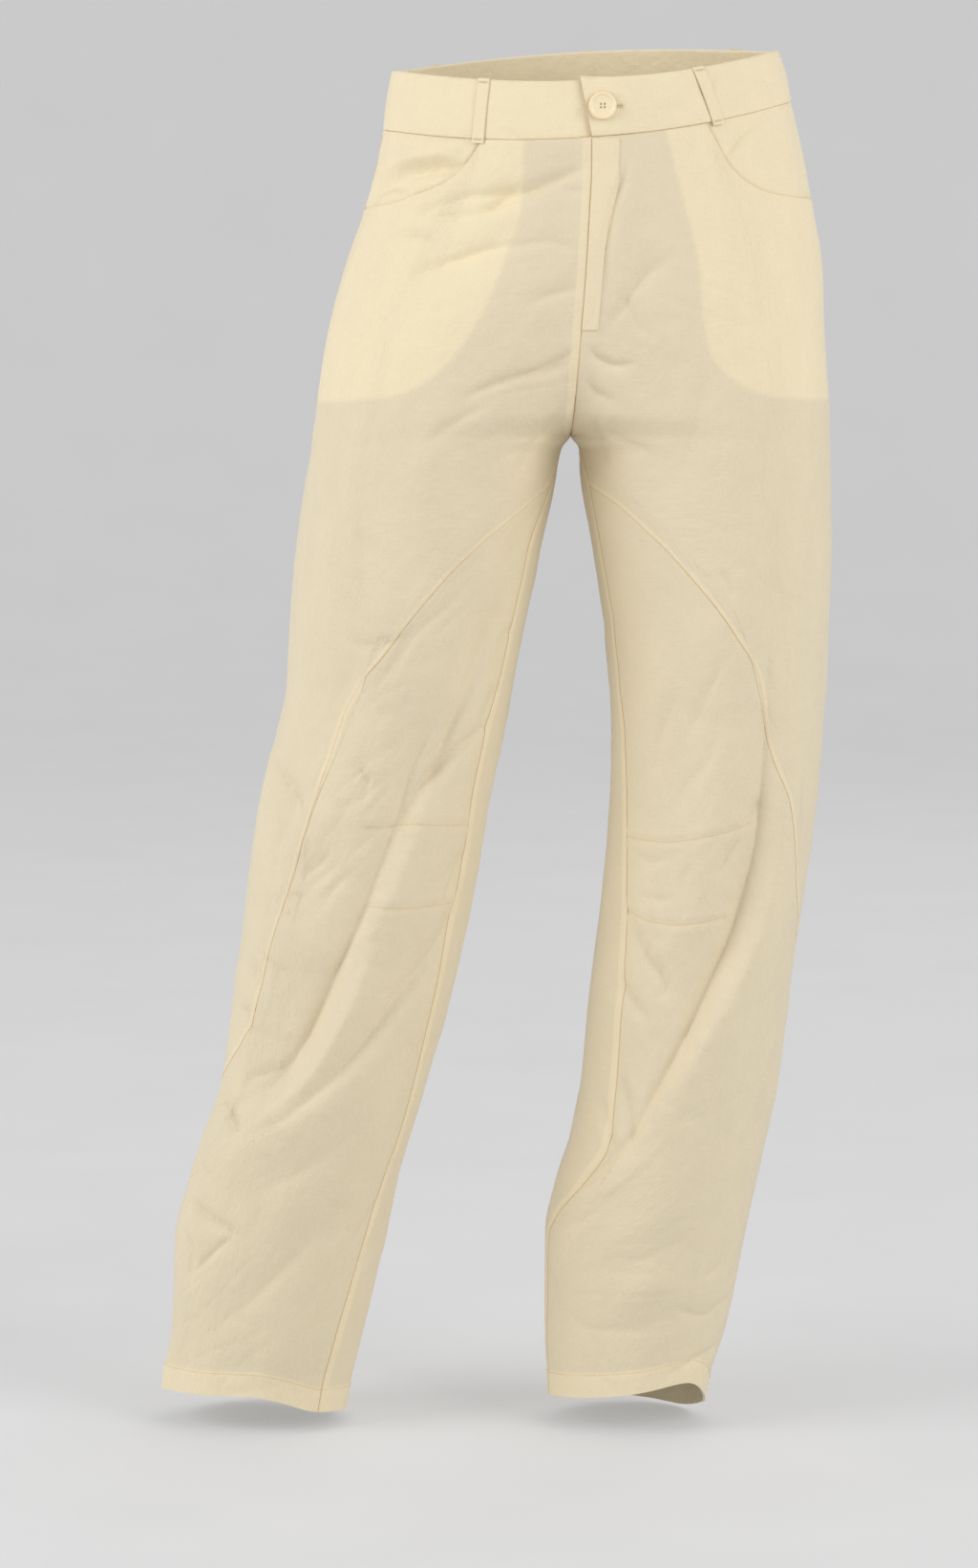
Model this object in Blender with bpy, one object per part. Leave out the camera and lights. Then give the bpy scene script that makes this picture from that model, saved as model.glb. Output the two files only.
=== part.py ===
"""Barrel leg trousers, worn shape: every cut piece as a thin closed wall at its real size.

World axes: +Z up, -Y to the front, +X to the wearer's left. The origin is the middle of the waist.
Tables are in millimetres and degrees. Right and left are the wearer's.

The cloth's form is one smooth surface for each half of the garment. At every height a half is an
ellipse round the leg. Above the crotch the ellipse runs past the centre line of the body and is cut
there, so the two halves meet along the front and back rise. A place on a half is given by `around`,
which runs 0 at the front rise and the inseam, 0.5 at the side seam and 1 back at the rise and the
inseam, and by its height z.
"""

import math

import bpy
import numpy as np

MM = 0.001

WALL = 1.5            # one layer of cloth
GAP = 0.3             # between two pieces at a seam
SEAM_INSET = 0.2      # each piece stops this far from the line of its seam
BAND_WALL = 2.4       # waistband, folded double
BAND_PROUD = 1.0      # the waistband stands out from the panels under it
HEM_DEPTH = 20.0
HEM_PROUD = 0.8
CROTCH_Z = -290.0

# ----------------------------------------------------------------------------------------------
# Form of the garment
# ----------------------------------------------------------------------------------------------

# Hips. x of the right and left outline and of the rise between the halves; how far the rise lies
# from the middle of a half toward its inner end, in front and behind; depth in front and behind.
HIPS = [
    # z, right, left, rise, share_front, share_back, front, back
    (30, -139, 141, 1, 0.00, 0.00, 104, 100),
    (0, -147, 150, 2, 0.02, 0.02, 106, 102),
    (-30, -152, 158, 3, 0.03, 0.02, 108, 105),
    (-80, -161, 170, 3, 0.08, 0.04, 110, 109),
    (-125, -174, 178, 1, 0.22, 0.12, 110, 113),
    (-160, -186, 183, -1, 0.38, 0.24, 109, 116),
    (-200, -197, 186, -4, 0.57, 0.42, 108, 117),
    (-250, -206, 190, -8, 0.81, 0.72, 105, 113),
    (-275, -210, 191, -10, 0.93, 0.90, 104, 110),
]

# Legs. x of the outer and inner outline; depth in front and behind; how far the inseam is turned
# from the inner outline to the front, in degrees.
LEGS = {
    "right": [
        # z, outer, inner, front, back, seam
        (-290, -213, -11, 103, 108, 0),
        (-300, -214, -18, 103, 107, 2),
        (-330, -219, -24, 101, 105, 14),
        (-380, -225, -34, 99, 102, 27),
        (-440, -230, -47, 96, 98, 28),
        (-480, -232, -55, 93, 96, 30),
        (-520, -241, -62, 91, 93, 34),
        (-560, -252, -70, 90, 91, 35),
        (-640, -264, -84, 88, 88, 32),
        (-720, -275, -102, 86, 86, 33),
        (-800, -286, -123, 84, 84, 32),
        (-840, -300, -135, 82, 83, 31),
        (-880, -313, -148, 79, 81, 32),
        (-920, -323, -156, 74, 77, 37),
        (-960, -325, -164, 68, 71, 42),
        (-1000, -327, -174, 63, 65, 45),
        (-1040, -333, -184, 58, 60, 46),
        (-1080, -336, -191, 57, 58, 46),
    ],
    "left": [
        (-290, 191, -11, 103, 108, 0),
        (-300, 191, -4, 103, 107, 6),
        (-330, 192, -2, 101, 105, 20),
        (-380, 192, 6, 99, 102, 22),
        (-440, 191, 16, 96, 98, 22),
        (-480, 190, 19, 93, 96, 24),
        (-520, 188, 20, 91, 93, 29),
        (-560, 185, 21, 90, 91, 30),
        (-640, 175, 15, 88, 88, 38),
        (-720, 163, 5, 86, 86, 45),
        (-800, 153, -3, 84, 84, 46),
        (-840, 145, -11, 82, 83, 49),
        (-880, 137, -22, 79, 81, 34),
        (-920, 129, -30, 74, 77, 14),
        (-960, 122, -30, 68, 71, 11),
        (-1000, 113, -30, 63, 65, 10),
        (-1040, 100, -28, 59, 61, 10),
        (-1080, 92, -26, 57, 58, 10),
    ],
}

# The largest folds, as seen from the front or the back. Each runs along a bent line; depth is
# negative for a trough, and width is half the fold's width.
FOLDS = {
    "right": [
        # face, x0, z0, x1, z1, x2, z2, width, depth
        ("front", -131, -574, -176, -665, -226, -760, 26, -6),
        ("front", -104, -662, -150, -760, -233, -825, 22, -6),
        ("front", -168, -715, -205, -800, -304, -872, 20, 8),
        ("front", -220, -910, -245, -955, -290, -978, 20, -4),
        ("back", -120, -250, -160, -330, -232, -400, 30, -5),
        ("back", -110, -640, -180, -720, -262, -760, 28, -6),
        ("back", -128, -735, -190, -830, -290, -870, 28, 6),
        ("back", -165, -880, -230, -930, -305, -945, 22, -4),
    ],
    "left": [
        ("front", 143, -586, 135, -680, 50, -822, 18, 8),
        ("front", 120, -672, 104, -724, 80, -762, 22, -6),
        ("front", 162, -590, 150, -700, 52, -832, 18, -6),
        ("front", 32, -664, 55, -688, 58, -720, 20, -4),
        ("front", 12, -800, 28, -832, 24, -862, 16, -5),
        ("back", 92, -250, 130, -330, 186, -400, 30, -5),
        ("back", 22, -640, 90, -720, 150, -760, 28, -6),
        ("back", 20, -735, 70, -810, 135, -850, 28, 6),
        ("back", -18, -880, 50, -925, 110, -940, 22, -4),
    ],
}

# ----------------------------------------------------------------------------------------------
# Lines across the form
# ----------------------------------------------------------------------------------------------

# Waist lines: height at the rise, rise across the body (the hips tilt), dip of the front and lift
# of the back against the sides.
WAIST_TOP = {"middle": -1.0, "tilt": 0.052, "dip": 17.0, "lift": 10.0}
WAIST_SEAM = {"middle": -43.5, "tilt": 0.069, "dip": 17.5, "lift": 8.0}

# Lines drawn on the front, as seen from the front. None in place of x is the side seam.
POCKET_MOUTH = {
    "right": [(-79, -61), (-85, -71), (-94, -83), (-106, -93), (-131, -104), (-150, -110), (None, -115)],
    "left": [(90, -50), (98, -64), (110, -84), (123, -95), (139, -102), (158, -105), (None, -108)],
}
CURVED_SEAM = {
    "right": [
        (-27, -327), (-42, -341), (-76, -366), (-119, -409), (-153, -452), (-185, -497),
        (-200, -542), (-222, -614), (-242, -676), (-263, -746), (None, -800),
    ],
    "left": [
        (6, -327), (22, -340), (50, -364), (84, -400), (114, -439), (134, -475),
        (142, -525), (155, -575), (161, -640), (None, -715),
    ],
}
POCKET_BOTTOM = {
    "right": [(-50, -112), (-60, -145), (-75, -184), (-104, -229), (-143, -255), (None, -265)],
    "left": [(85, -162), (87, -191), (93, -223), (118, -248), (150, -258), (None, -262)],
}
# Hem height all round the leg: 0 inner side, 90 front, 180 outer side, 270 back.
HEM = {
    "right": [(0, -1061), (45, -1056), (95, -1040), (180, -1044), (270, -1062), (360, -1061)],
    "left": [(0, -1050), (90, -1038), (130, -1032), (180, -1057), (225, -1068), (270, -1065), (360, -1050)],
}
PLACKET_BOTTOM_Z = -206.0
PLACKET_EDGE = [(-64, 24), (-94, 23), (-123, 18), (-146, 13), (-183, 10), (-206, 8)]   # z, x

# ----------------------------------------------------------------------------------------------
# Numbers of rows and columns
# ----------------------------------------------------------------------------------------------

COLUMNS = 12            # across a front or a back panel
YOKE_ROWS = 2           # waist seam to the end of the pocket mouth, on the back
UPPER_ROWS = 21         # from there to the curved seam
LOWER_ROWS = 18         # curved seam to the top of the hem


def smooth(rows, where):
    """Smooth value between the rows (place, value) of a table, which never overshoots them."""
    rows = sorted(rows)
    x = np.array([row[0] for row in rows], float)
    y = np.array([row[1] for row in rows], float)
    step = np.diff(x)
    slope = np.diff(y) / step
    tangent = np.concatenate([slope[:1], np.zeros(len(x) - 2), slope[-1:]])
    same_way = slope[:-1] * slope[1:] > 0
    before, after = slope[:-1][same_way], slope[1:][same_way]
    tangent[1:-1][same_way] = 2 * before * after / (before + after)
    where = np.clip(np.asarray(where, float), x[0], x[-1])
    index = np.clip(np.searchsorted(x, where) - 1, 0, len(x) - 2)
    t = (where - x[index]) / step[index]
    return (
        y[index] * (1 + 2 * t) * (1 - t) ** 2
        + y[index + 1] * t ** 2 * (3 - 2 * t)
        + step[index] * (tangent[index] * t * (1 - t) ** 2 - tangent[index + 1] * t ** 2 * (1 - t))
    )


def column(rows, number):
    return [(row[0], row[number]) for row in rows]


def outline(side):
    """Tables of one half: z with outer x, inner x, front depth, back depth."""
    outer_column = {"right": 1, "left": 2}[side]
    legs = LEGS[side]
    return {
        "outer": column(HIPS, outer_column) + column(legs, 1),
        "inner": column(HIPS, 3) + column(legs, 2),
        "front": column(HIPS, 6) + column(legs, 3),
        "back": column(HIPS, 7) + column(legs, 4),
        "seam": column(legs, 5),
        "share_front": column(HIPS, 4) + [(CROTCH_Z, 1.0), (-1100, 1.0)],
        "share_back": column(HIPS, 5) + [(CROTCH_Z, 1.0), (-1100, 1.0)],
    }


OUTLINES = {side: outline(side) for side in ("right", "left")}


def ellipse(side, z, share):
    """Middle x and half width of the ellipse at a height; the half width is signed to the inner side."""
    rows = OUTLINES[side]
    outer = smooth(rows["outer"], z)
    half_width = (smooth(rows["inner"], z) - outer) / (1 + share)
    return outer + half_width, half_width


def turn(side, around, z):
    """Angle round the leg from its inner side: 90 degrees is the front and 180 the outer side."""
    rows = OUTLINES[side]
    seam = np.radians(smooth(rows["seam"], z))
    above = z > CROTCH_Z
    first = np.where(above, np.arccos(np.clip(smooth(rows["share_front"], z), 0, 1)), seam)
    last = np.where(above, 2 * np.pi - np.arccos(np.clip(smooth(rows["share_back"], z), 0, 1)), 2 * np.pi + seam)
    return np.where(around <= 0.5, first + (np.pi - first) * 2 * around, np.pi + (last - np.pi) * (2 * around - 1))


def body(side, around, z):
    """The form without its folds."""
    rows = OUTLINES[side]
    share = np.where(around <= 0.5, smooth(rows["share_front"], z), smooth(rows["share_back"], z))
    middle, half_width = ellipse(side, z, share)
    angle = turn(side, around, z)
    depth = np.where(np.sin(angle) > 0, smooth(rows["front"], z), smooth(rows["back"], z))
    return np.stack([middle + half_width * np.cos(angle), -depth * np.sin(angle), z + 0 * angle], -1)


def outward(form, side, around, z):
    """Unit normal of a form, pointing out of the garment."""
    step_around, step_z = 0.002, 0.5
    low, high = np.clip(around - step_around, 0, 1), np.clip(around + step_around, 0, 1)
    along = form(side, high, z) - form(side, low, z)
    up = form(side, around, z + step_z) - form(side, around, z - step_z)
    normal = np.cross(up, along) * (1 if side == "right" else -1)
    return normal / np.linalg.norm(normal, axis=-1, keepdims=True)


def distance_to_line(x, z, fold, samples=14):
    """Distance from points to a fold's bent line, and how far along the line each point lies."""
    _, x0, z0, x1, z1, x2, z2, _, _ = fold
    t = np.linspace(0, 1, samples)
    line_x = x0 * (1 - t) ** 2 + 2 * x1 * t * (1 - t) + x2 * t ** 2
    line_z = z0 * (1 - t) ** 2 + 2 * z1 * t * (1 - t) + z2 * t ** 2
    nearest = np.full(x.shape, np.inf)
    along = np.zeros(x.shape)
    for i in range(samples - 1):
        dx, dz = line_x[i + 1] - line_x[i], line_z[i + 1] - line_z[i]
        part = np.clip(((x - line_x[i]) * dx + (z - line_z[i]) * dz) / (dx * dx + dz * dz), 0, 1)
        distance = np.hypot(x - line_x[i] - part * dx, z - line_z[i] - part * dz)
        along = np.where(distance < nearest, (i + part) / (samples - 1), along)
        nearest = np.minimum(distance, nearest)
    return nearest, along


def cloth(side, around, z):
    """The form with its largest folds, which fade where the cloth turns away and at their ends."""
    points = body(side, around, z)
    normal = outward(body, side, around, z)
    height = np.zeros(points.shape[:-1])
    for fold in FOLDS[side]:
        face, width, depth = fold[0], fold[7], fold[8]
        facing = normal[..., 1] * (-1 if face == "front" else 1)
        distance, along = distance_to_line(points[..., 0], points[..., 2], fold)
        fade = np.clip(facing / 0.5, 0, 1) ** 2 * np.sin(np.pi * np.clip(along, 0.02, 0.98)) ** 0.7
        height += depth * fade * np.exp(-((distance / width) ** 2))
    return points + normal * height[..., None]


def around_at(side, x, z):
    """Place round the front of a half, 0 to 0.5, where the form has this x."""
    z = np.asarray(z, float)
    share = smooth(OUTLINES[side]["share_front"], z)
    middle, half_width = ellipse(side, z, share)
    angle = np.arccos(np.clip((x - middle) / half_width, -1, 1))
    first = turn(side, np.zeros_like(z), z)
    return np.clip(0.5 * (angle - first) / (np.pi - first), 0, 0.5)


def line_on_front(side, points):
    """A line drawn from the front as rows (around, z), from its inner end to the side seam."""
    rows = [(0.5 if x is None else float(around_at(side, x, z)), z) for x, z in points]
    return sorted(rows)


def waist_line(line, side, around):
    """Height of a waist line where it passes a place round the garment."""
    level = np.full(np.shape(around), float(line["middle"]))
    for _ in range(2):
        x = body(side, around, level)[..., 0]
        angle = turn(side, around, level)
        front = np.clip(np.sin(angle), 0, 1) ** 2
        back = np.clip(-np.sin(angle), 0, 1) ** 2
        level = line["middle"] + line["tilt"] * x - line["dip"] * front + line["lift"] * back
    return level


def hem_line(side, around):
    angle = np.degrees(turn(side, around, np.full(np.shape(around), -1045.0))) % 360
    return smooth(HEM[side], angle)


# ----------------------------------------------------------------------------------------------
# Making solids
# ----------------------------------------------------------------------------------------------

def material(name, colour, roughness):
    made = bpy.data.materials.new(name)
    made.use_nodes = True
    shader = made.node_tree.nodes["Principled BSDF"]
    shader.inputs["Base Color"].default_value = (*colour, 1)
    shader.inputs["Roughness"].default_value = roughness
    shader.inputs["Metallic"].default_value = 0
    return made


def inset(points, sides="udlr", by=SEAM_INSET):
    """Draws the edge rows of a grid in from its seams: u up, d down, l first and r last column."""
    made = points.copy()
    edges = {
        "l": (np.s_[0, :], np.s_[1, :]), "r": (np.s_[-1, :], np.s_[-2, :]),
        "u": (np.s_[:, 0], np.s_[:, 1]), "d": (np.s_[:, -1], np.s_[:, -2]),
    }
    for key in sides:
        edge, next_row = edges[key]
        way = made[next_row] - made[edge]
        made[edge] = made[edge] + way / np.linalg.norm(way, axis=-1, keepdims=True) * by
    return made


def wall(name, outer, inner, look):
    """A closed wall between two grids of points, with the same triangles on both faces."""
    columns, rows = outer.shape[:2]
    index = np.arange(columns * rows).reshape(columns, rows)
    back = index + columns * rows
    a, b, c, d = index[:-1, :-1], index[1:, :-1], index[1:, 1:], index[:-1, 1:]
    front_faces = np.concatenate([np.stack([a, b, c], -1).reshape(-1, 3), np.stack([a, c, d], -1).reshape(-1, 3)])
    back_faces = front_faces[:, ::-1] + columns * rows
    rim = np.concatenate([index[:, 0], index[-1, 1:], index[-2::-1, -1], index[0, -2:0:-1]])
    rim_back = np.concatenate([back[:, 0], back[-1, 1:], back[-2::-1, -1], back[0, -2:0:-1]])
    ahead, ahead_back = np.roll(rim, -1), np.roll(rim_back, -1)
    rim_faces = np.concatenate([np.stack([rim, rim_back, ahead_back], -1), np.stack([rim, ahead_back, ahead], -1)])
    faces = np.concatenate([front_faces, back_faces, rim_faces])
    points = np.concatenate([outer.reshape(-1, 3), inner.reshape(-1, 3)]) * MM
    return solid(name, points, faces, look)


def solid(name, points, faces, look):
    """An object from points and faces, turned so that its faces point out."""
    volume = np.einsum("ij,ij->i", points[faces[:, 0]], np.cross(points[faces[:, 1]], points[faces[:, 2]])).sum()
    if volume < 0:
        faces = faces[:, ::-1]
    mesh = bpy.data.meshes.new(name)
    mesh.from_pydata(points.tolist(), [], faces.tolist())
    mesh.materials.append(look)
    mesh.shade_smooth()
    mesh.set_sharp_from_angle(angle=math.radians(50))
    made = bpy.data.objects.new(name, mesh)
    bpy.context.scene.collection.objects.link(made)
    return made


def layer(side, around, z, out, thick):
    """Outer and inner grids of a layer: its outer face lies `out` above the form."""
    points = cloth(side, around, z)
    normal = outward(cloth, side, around, z)
    out = np.broadcast_to(out, points.shape[:-1])[..., None]
    thick = np.broadcast_to(thick, points.shape[:-1])[..., None]
    return points + normal * out, points + normal * (out - thick)


# ----------------------------------------------------------------------------------------------
# Panels
# ----------------------------------------------------------------------------------------------

def crotch_share(top, bottom):
    """Part of the way from top to bottom at which a column passes the crotch."""
    return (top - CROTCH_Z) / (top - bottom)


def upper_rows(around, top, bottom):
    """Heights of the rows above the curved seam; next to the rise the last row but one is the crotch."""
    even = np.linspace(0, 1, UPPER_ROWS + 1)
    meets_crotch = np.append(np.linspace(0, 1, UPPER_ROWS), 1)
    scale = crotch_share(top, bottom)
    near = np.minimum(meets_crotch[None] * scale[:, None], 1)
    near[:, -1] = 1
    to_rise = np.clip(1 - np.minimum(around, 1 - around) / 0.2, 0, 1) ** 2
    part = even[None] * (1 - to_rise[:, None]) + near * to_rise[:, None]
    return top[:, None] + (bottom - top)[:, None] * part


def lower_rows(top, hem):
    """Heights of the rows from the curved seam to the hem, with a row on each side of the hem's top."""
    hem_top = hem + HEM_DEPTH
    rows = top[:, None] + (hem_top + 1 - top)[:, None] * np.linspace(0, 1, LOWER_ROWS + 1)[None]
    return np.concatenate([rows, (hem_top - 1)[:, None], hem[:, None]], axis=1)


def curved_seam(side, around):
    """Height of the line between the upper and lower rows; on the back it runs on as the grid's line."""
    rows = line_on_front(side, CURVED_SEAM[side])
    rows[0] = (0.0, rows[0][1])
    return smooth(rows, np.minimum(around, 1 - around))


def mouth_end(side):
    return POCKET_MOUTH[side][-1][1]


def front_top(side, around):
    """Top edge of a front: the waist seam, then the pocket mouth."""
    mouth = line_on_front(side, POCKET_MOUTH[side])
    seam = waist_line(WAIST_SEAM, side, around) - GAP
    return np.where(around > mouth[0][0], np.minimum(smooth(mouth, around), seam), seam)


def make_fronts(side, look):
    around = np.linspace(0, 0.5, COLUMNS + 1)
    split = curved_seam(side, around)
    z = upper_rows(around, front_top(side, around), split)
    place = np.repeat(around[:, None], z.shape[1], 1)
    outer, inner = layer(side, place, z, 0, WALL)
    wall(f"front_upper_{side}", inset(outer), inset(inner), look)

    z = lower_rows(split, hem_line(side, around))
    place = np.repeat(around[:, None], z.shape[1], 1)
    out = np.zeros(z.shape)
    out[:, -2:] = HEM_PROUD
    outer, inner = layer(side, place, z, out, WALL + out)
    wall(f"front_lower_{side}", inset(outer, "ulr"), inset(inner, "ulr"), look)


def make_back(side, look):
    around = np.linspace(0.5, 1, COLUMNS + 1)
    split = curved_seam(side, around)
    top = waist_line(WAIST_SEAM, side, around) - GAP
    yoke_end = np.full(around.shape, float(mouth_end(side)))
    yoke = top[:, None] + (yoke_end - top)[:, None] * np.linspace(0, 1, YOKE_ROWS + 1)[None]
    upper = upper_rows(around, yoke_end, split)
    lower = lower_rows(split, hem_line(side, around))
    z = np.concatenate([yoke, upper[:, 1:], lower[:, 1:]], axis=1)
    place = np.repeat(around[:, None], z.shape[1], 1)
    out = np.zeros(z.shape)
    out[:, -2:] = HEM_PROUD
    outer, inner = layer(side, place, z, out, WALL + out)
    wall(f"back_{side}", inset(outer, "ulr"), inset(inner, "ulr"), look)


# ----------------------------------------------------------------------------------------------
# Pockets and placket
# ----------------------------------------------------------------------------------------------

BAG_OUT = -(WALL + 1.2)          # front layer of the pocket, under the front panel
BAG_WALL = 1.0
FACING_OUT = BAG_OUT - BAG_WALL - 0.8
FACING_WALL = 1.2
POCKET_COLUMNS = 9
POCKET_ROWS = 8


def make_pocket(side, facing_look, bag_look):
    """The bag hangs from the pocket mouth; the facing lies behind it and fills the mouth."""
    bottom_line = line_on_front(side, POCKET_BOTTOM[side])
    around = np.linspace(bottom_line[0][0], 0.5, POCKET_COLUMNS + 1)
    place = np.repeat(around[:, None], POCKET_ROWS + 1, 1)
    bottom = smooth(bottom_line, around)
    part = np.linspace(0, 1, POCKET_ROWS + 1)[None]
    waist = waist_line(WAIST_SEAM, side, around) - GAP
    for name, top, out, thick, look in (
        ("bag", front_top(side, around), BAG_OUT, BAG_WALL, bag_look),
        ("facing", waist, FACING_OUT, FACING_WALL, facing_look),
    ):
        z = top[:, None] + (bottom - top)[:, None] * part
        outer, inner = layer(side, place, z, out, thick)
        wall(f"pocket_{name}_{side}", inset(outer), inset(inner), look)


PLACKET_OUT = 0.6
PLACKET_WALL = 1.2


def make_placket(look):
    """Strip on the left front along the rise, made from that panel's points, moved out."""
    z_row = np.linspace(-62.5, PLACKET_BOTTOM_Z, 13)
    edge = around_at("left", smooth(PLACKET_EDGE, z_row), z_row)
    part = np.linspace(0, 1, 4)[:, None]
    around = part * edge[None]
    z = np.repeat(z_row[None], 4, 0)
    top = waist_line(WAIST_SEAM, "left", around) - GAP
    z = np.minimum(z, top)
    outer, inner = layer("left", around, z, PLACKET_OUT + PLACKET_WALL, PLACKET_WALL)
    wall("fly_placket", inset(outer), inset(inner), look)


# ----------------------------------------------------------------------------------------------
# Waistband, loops and button
# ----------------------------------------------------------------------------------------------

LAP_OUT = BAND_PROUD
UNDERLAP_OUT = LAP_OUT - BAND_WALL - 0.6      # the under end lies inside the lapping end
LAP_END = -5.0          # degrees round the waist from the front rise; the left half is plus
UNDERLAP_END = 14.0
STEP_ROUND = 8.0


def round_waist(degrees):
    """Half and place round it for an angle round the waist: 0 front rise, 90 left side, 180 back rise."""
    degrees = degrees % 360
    if degrees <= 180:
        return "left", degrees / 180
    return "right", (360 - degrees) / 180


def waist_layer(angles, heights, out, thick):
    """Grids of a strip round the waist; heights maps (side, around) to the z of each row."""
    outer, inner = [], []
    for angle, lift in zip(angles, np.broadcast_to(out, (len(angles),))):
        side, around = round_waist(angle)
        z = heights(side, np.array([around]))
        place = np.full(z.shape, around)
        near, far = layer(side, place, z, lift, thick)
        outer.append(near)
        inner.append(far)
    return np.array(outer), np.array(inner)


def band_heights(side, around):
    low = waist_line(WAIST_SEAM, side, around)[0]
    high = waist_line(WAIST_TOP, side, around)[0]
    return high + (low - high) * np.linspace(0, 1, 4)


def make_waistband(look):
    """One strip from the lapping end on the right, round the left side and back, to the under end."""
    round_body = np.arange(LAP_END, 360 + UNDERLAP_END + 0.1, (360 + UNDERLAP_END - LAP_END) / 58)
    sinks = np.clip((round_body - 330) / 20, 0, 1)
    out = LAP_OUT + (UNDERLAP_OUT - LAP_OUT) * sinks ** 2 * (3 - 2 * sinks)
    outer, inner = waist_layer(round_body, band_heights, out, BAND_WALL)
    wall("waistband", outer, inner, look)


LOOPS = [
    # name, angle at the top, angle at the bottom
    ("belt_loop_front_right", -32.0, -32.5),
    ("belt_loop_front_left", 32.5, 37.0),
    ("belt_loop_back_left", 128.0, 128.0),
    ("belt_loop_centre_back", 180.0, 180.0),
    ("belt_loop_back_right", -128.0, -128.0),
]
LOOP_WIDTH_TURN = 4.8        # degrees, 10 mm at the waist
LOOP_WALL = 1.2
LOOP_BELOW_SEAM = 3.0
LOOP_BOW = 1.4               # how far its middle stands off


def make_loop(name, angle_top, angle_bottom, look):
    rows = 9
    part = np.linspace(0, 1, rows)
    outer, inner = [], []
    for step in np.linspace(-0.5, 0.5, 4):
        outer_row, inner_row = [], []
        for t in part:
            angle = angle_top + (angle_bottom - angle_top) * t + step * LOOP_WIDTH_TURN
            side, around = round_waist(angle)
            place = np.array([around])
            high = waist_line(WAIST_TOP, side, place) - 0.5
            low = waist_line(WAIST_SEAM, side, place) - LOOP_BELOW_SEAM
            clear = BAND_PROUD + 0.6 + LOOP_BOW * math.sin(math.pi * t) ** 0.8
            near, far = layer(side, place, high + (low - high) * t, clear + LOOP_WALL, LOOP_WALL)
            outer_row.append(near[0])
            inner_row.append(far[0])
        outer.append(outer_row)
        inner.append(inner_row)
    wall(name, np.array(outer), np.array(inner), look)


BUTTON_RADIUS = 10.5
BUTTON_THICK = 3.2
BUTTON_X, BUTTON_Z = 11.0, -38.0
BUTTON_SIDES = 32
BUTTON_CLEAR = 0.5      # over the band, on its thread


def make_button(look):
    """A turned disc with a raised rim and a dished middle, lying on the lapping end."""
    around = around_at("left", BUTTON_X, BUTTON_Z)
    place, z = np.array([float(around)]), np.array([BUTTON_Z])
    centre = cloth("left", place, z)[0]
    normal = outward(cloth, "left", place, z)[0]
    right = np.cross(normal, [0, 0, 1.0])
    right /= np.linalg.norm(right)
    up = np.cross(right, normal)
    base = BAND_PROUD + BUTTON_CLEAR
    profile = [
        # radius, height
        (0.0, 0.0), (8.6, 0.0), (BUTTON_RADIUS, 1.0), (BUTTON_RADIUS, 2.2), (9.7, BUTTON_THICK),
        (8.2, BUTTON_THICK), (6.8, 2.0), (0.0, 2.0),
    ]
    points, faces = [centre + normal * base], []
    for radius, height in profile[1:-1]:
        for i in range(BUTTON_SIDES):
            angle = 2 * math.pi * i / BUTTON_SIDES
            flat = right * math.cos(angle) + up * math.sin(angle)
            points.append(centre + normal * (base + height) + flat * radius)
    points.append(centre + normal * (base + profile[-1][1]))
    rings = len(profile) - 2
    last = len(points) - 1
    for i in range(BUTTON_SIDES):
        j = (i + 1) % BUTTON_SIDES
        faces.append((0, 1 + j, 1 + i))
        faces.append((last, 1 + (rings - 1) * BUTTON_SIDES + i, 1 + (rings - 1) * BUTTON_SIDES + j))
        for ring in range(rings - 1):
            a = 1 + ring * BUTTON_SIDES
            b = a + BUTTON_SIDES
            faces.append((a + i, a + j, b + j))
            faces.append((a + i, b + j, b + i))
    solid("button", np.array(points) * MM, np.array(faces), look)


def main():
    for old in list(bpy.data.objects):
        bpy.data.objects.remove(old, do_unlink=True)
    single = material("cloth_single_layer", (0.74, 0.64, 0.44), 0.75)
    double = material("cloth_double_layer", (0.83, 0.71, 0.47), 0.75)
    lining = material("pocket_bag_cloth", (0.82, 0.72, 0.49), 0.8)
    plastic = material("button_plastic", (0.86, 0.73, 0.47), 0.4)
    for side in ("right", "left"):
        make_fronts(side, single)
        make_back(side, single)
        make_pocket(side, single, lining)
    make_placket(double)
    make_waistband(double)
    for name, angle_top, angle_bottom in LOOPS:
        make_loop(name, angle_top, angle_bottom, double)
    make_button(plastic)


main()
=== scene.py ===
"""Looks of the barrel leg trousers: cloth panels with their folds and seams, trimmings, light and camera.

The form is the one the solids have: each half of the garment is an ellipse round the leg at every
height, cut at the rise above the crotch. Tables are in millimetres and degrees, and pieces are made
in metres at the end. `around` runs 0 at the front rise and inseam, 0.5 at the side seam and 1 at the
back rise and inseam. Right and left are the wearer's.
"""

import math

import bpy
import numpy as np
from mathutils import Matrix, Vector


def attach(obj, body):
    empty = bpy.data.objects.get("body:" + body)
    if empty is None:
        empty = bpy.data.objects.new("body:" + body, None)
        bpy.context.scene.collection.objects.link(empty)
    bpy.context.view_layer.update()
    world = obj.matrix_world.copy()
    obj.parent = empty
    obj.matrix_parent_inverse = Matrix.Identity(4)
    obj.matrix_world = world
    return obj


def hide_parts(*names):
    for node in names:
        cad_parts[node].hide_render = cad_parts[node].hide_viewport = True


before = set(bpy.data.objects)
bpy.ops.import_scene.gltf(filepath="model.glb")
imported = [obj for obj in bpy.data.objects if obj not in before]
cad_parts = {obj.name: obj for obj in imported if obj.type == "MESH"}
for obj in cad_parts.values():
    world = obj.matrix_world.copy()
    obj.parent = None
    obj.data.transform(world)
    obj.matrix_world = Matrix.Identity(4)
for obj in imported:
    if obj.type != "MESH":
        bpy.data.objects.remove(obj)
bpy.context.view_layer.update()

MM = 0.001
CROTCH_Z = -290.0
WAY_OFF = 50.0           # stands for a distance beyond the reach of any line

# ---------- Form, as the solids have it ----------

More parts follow.
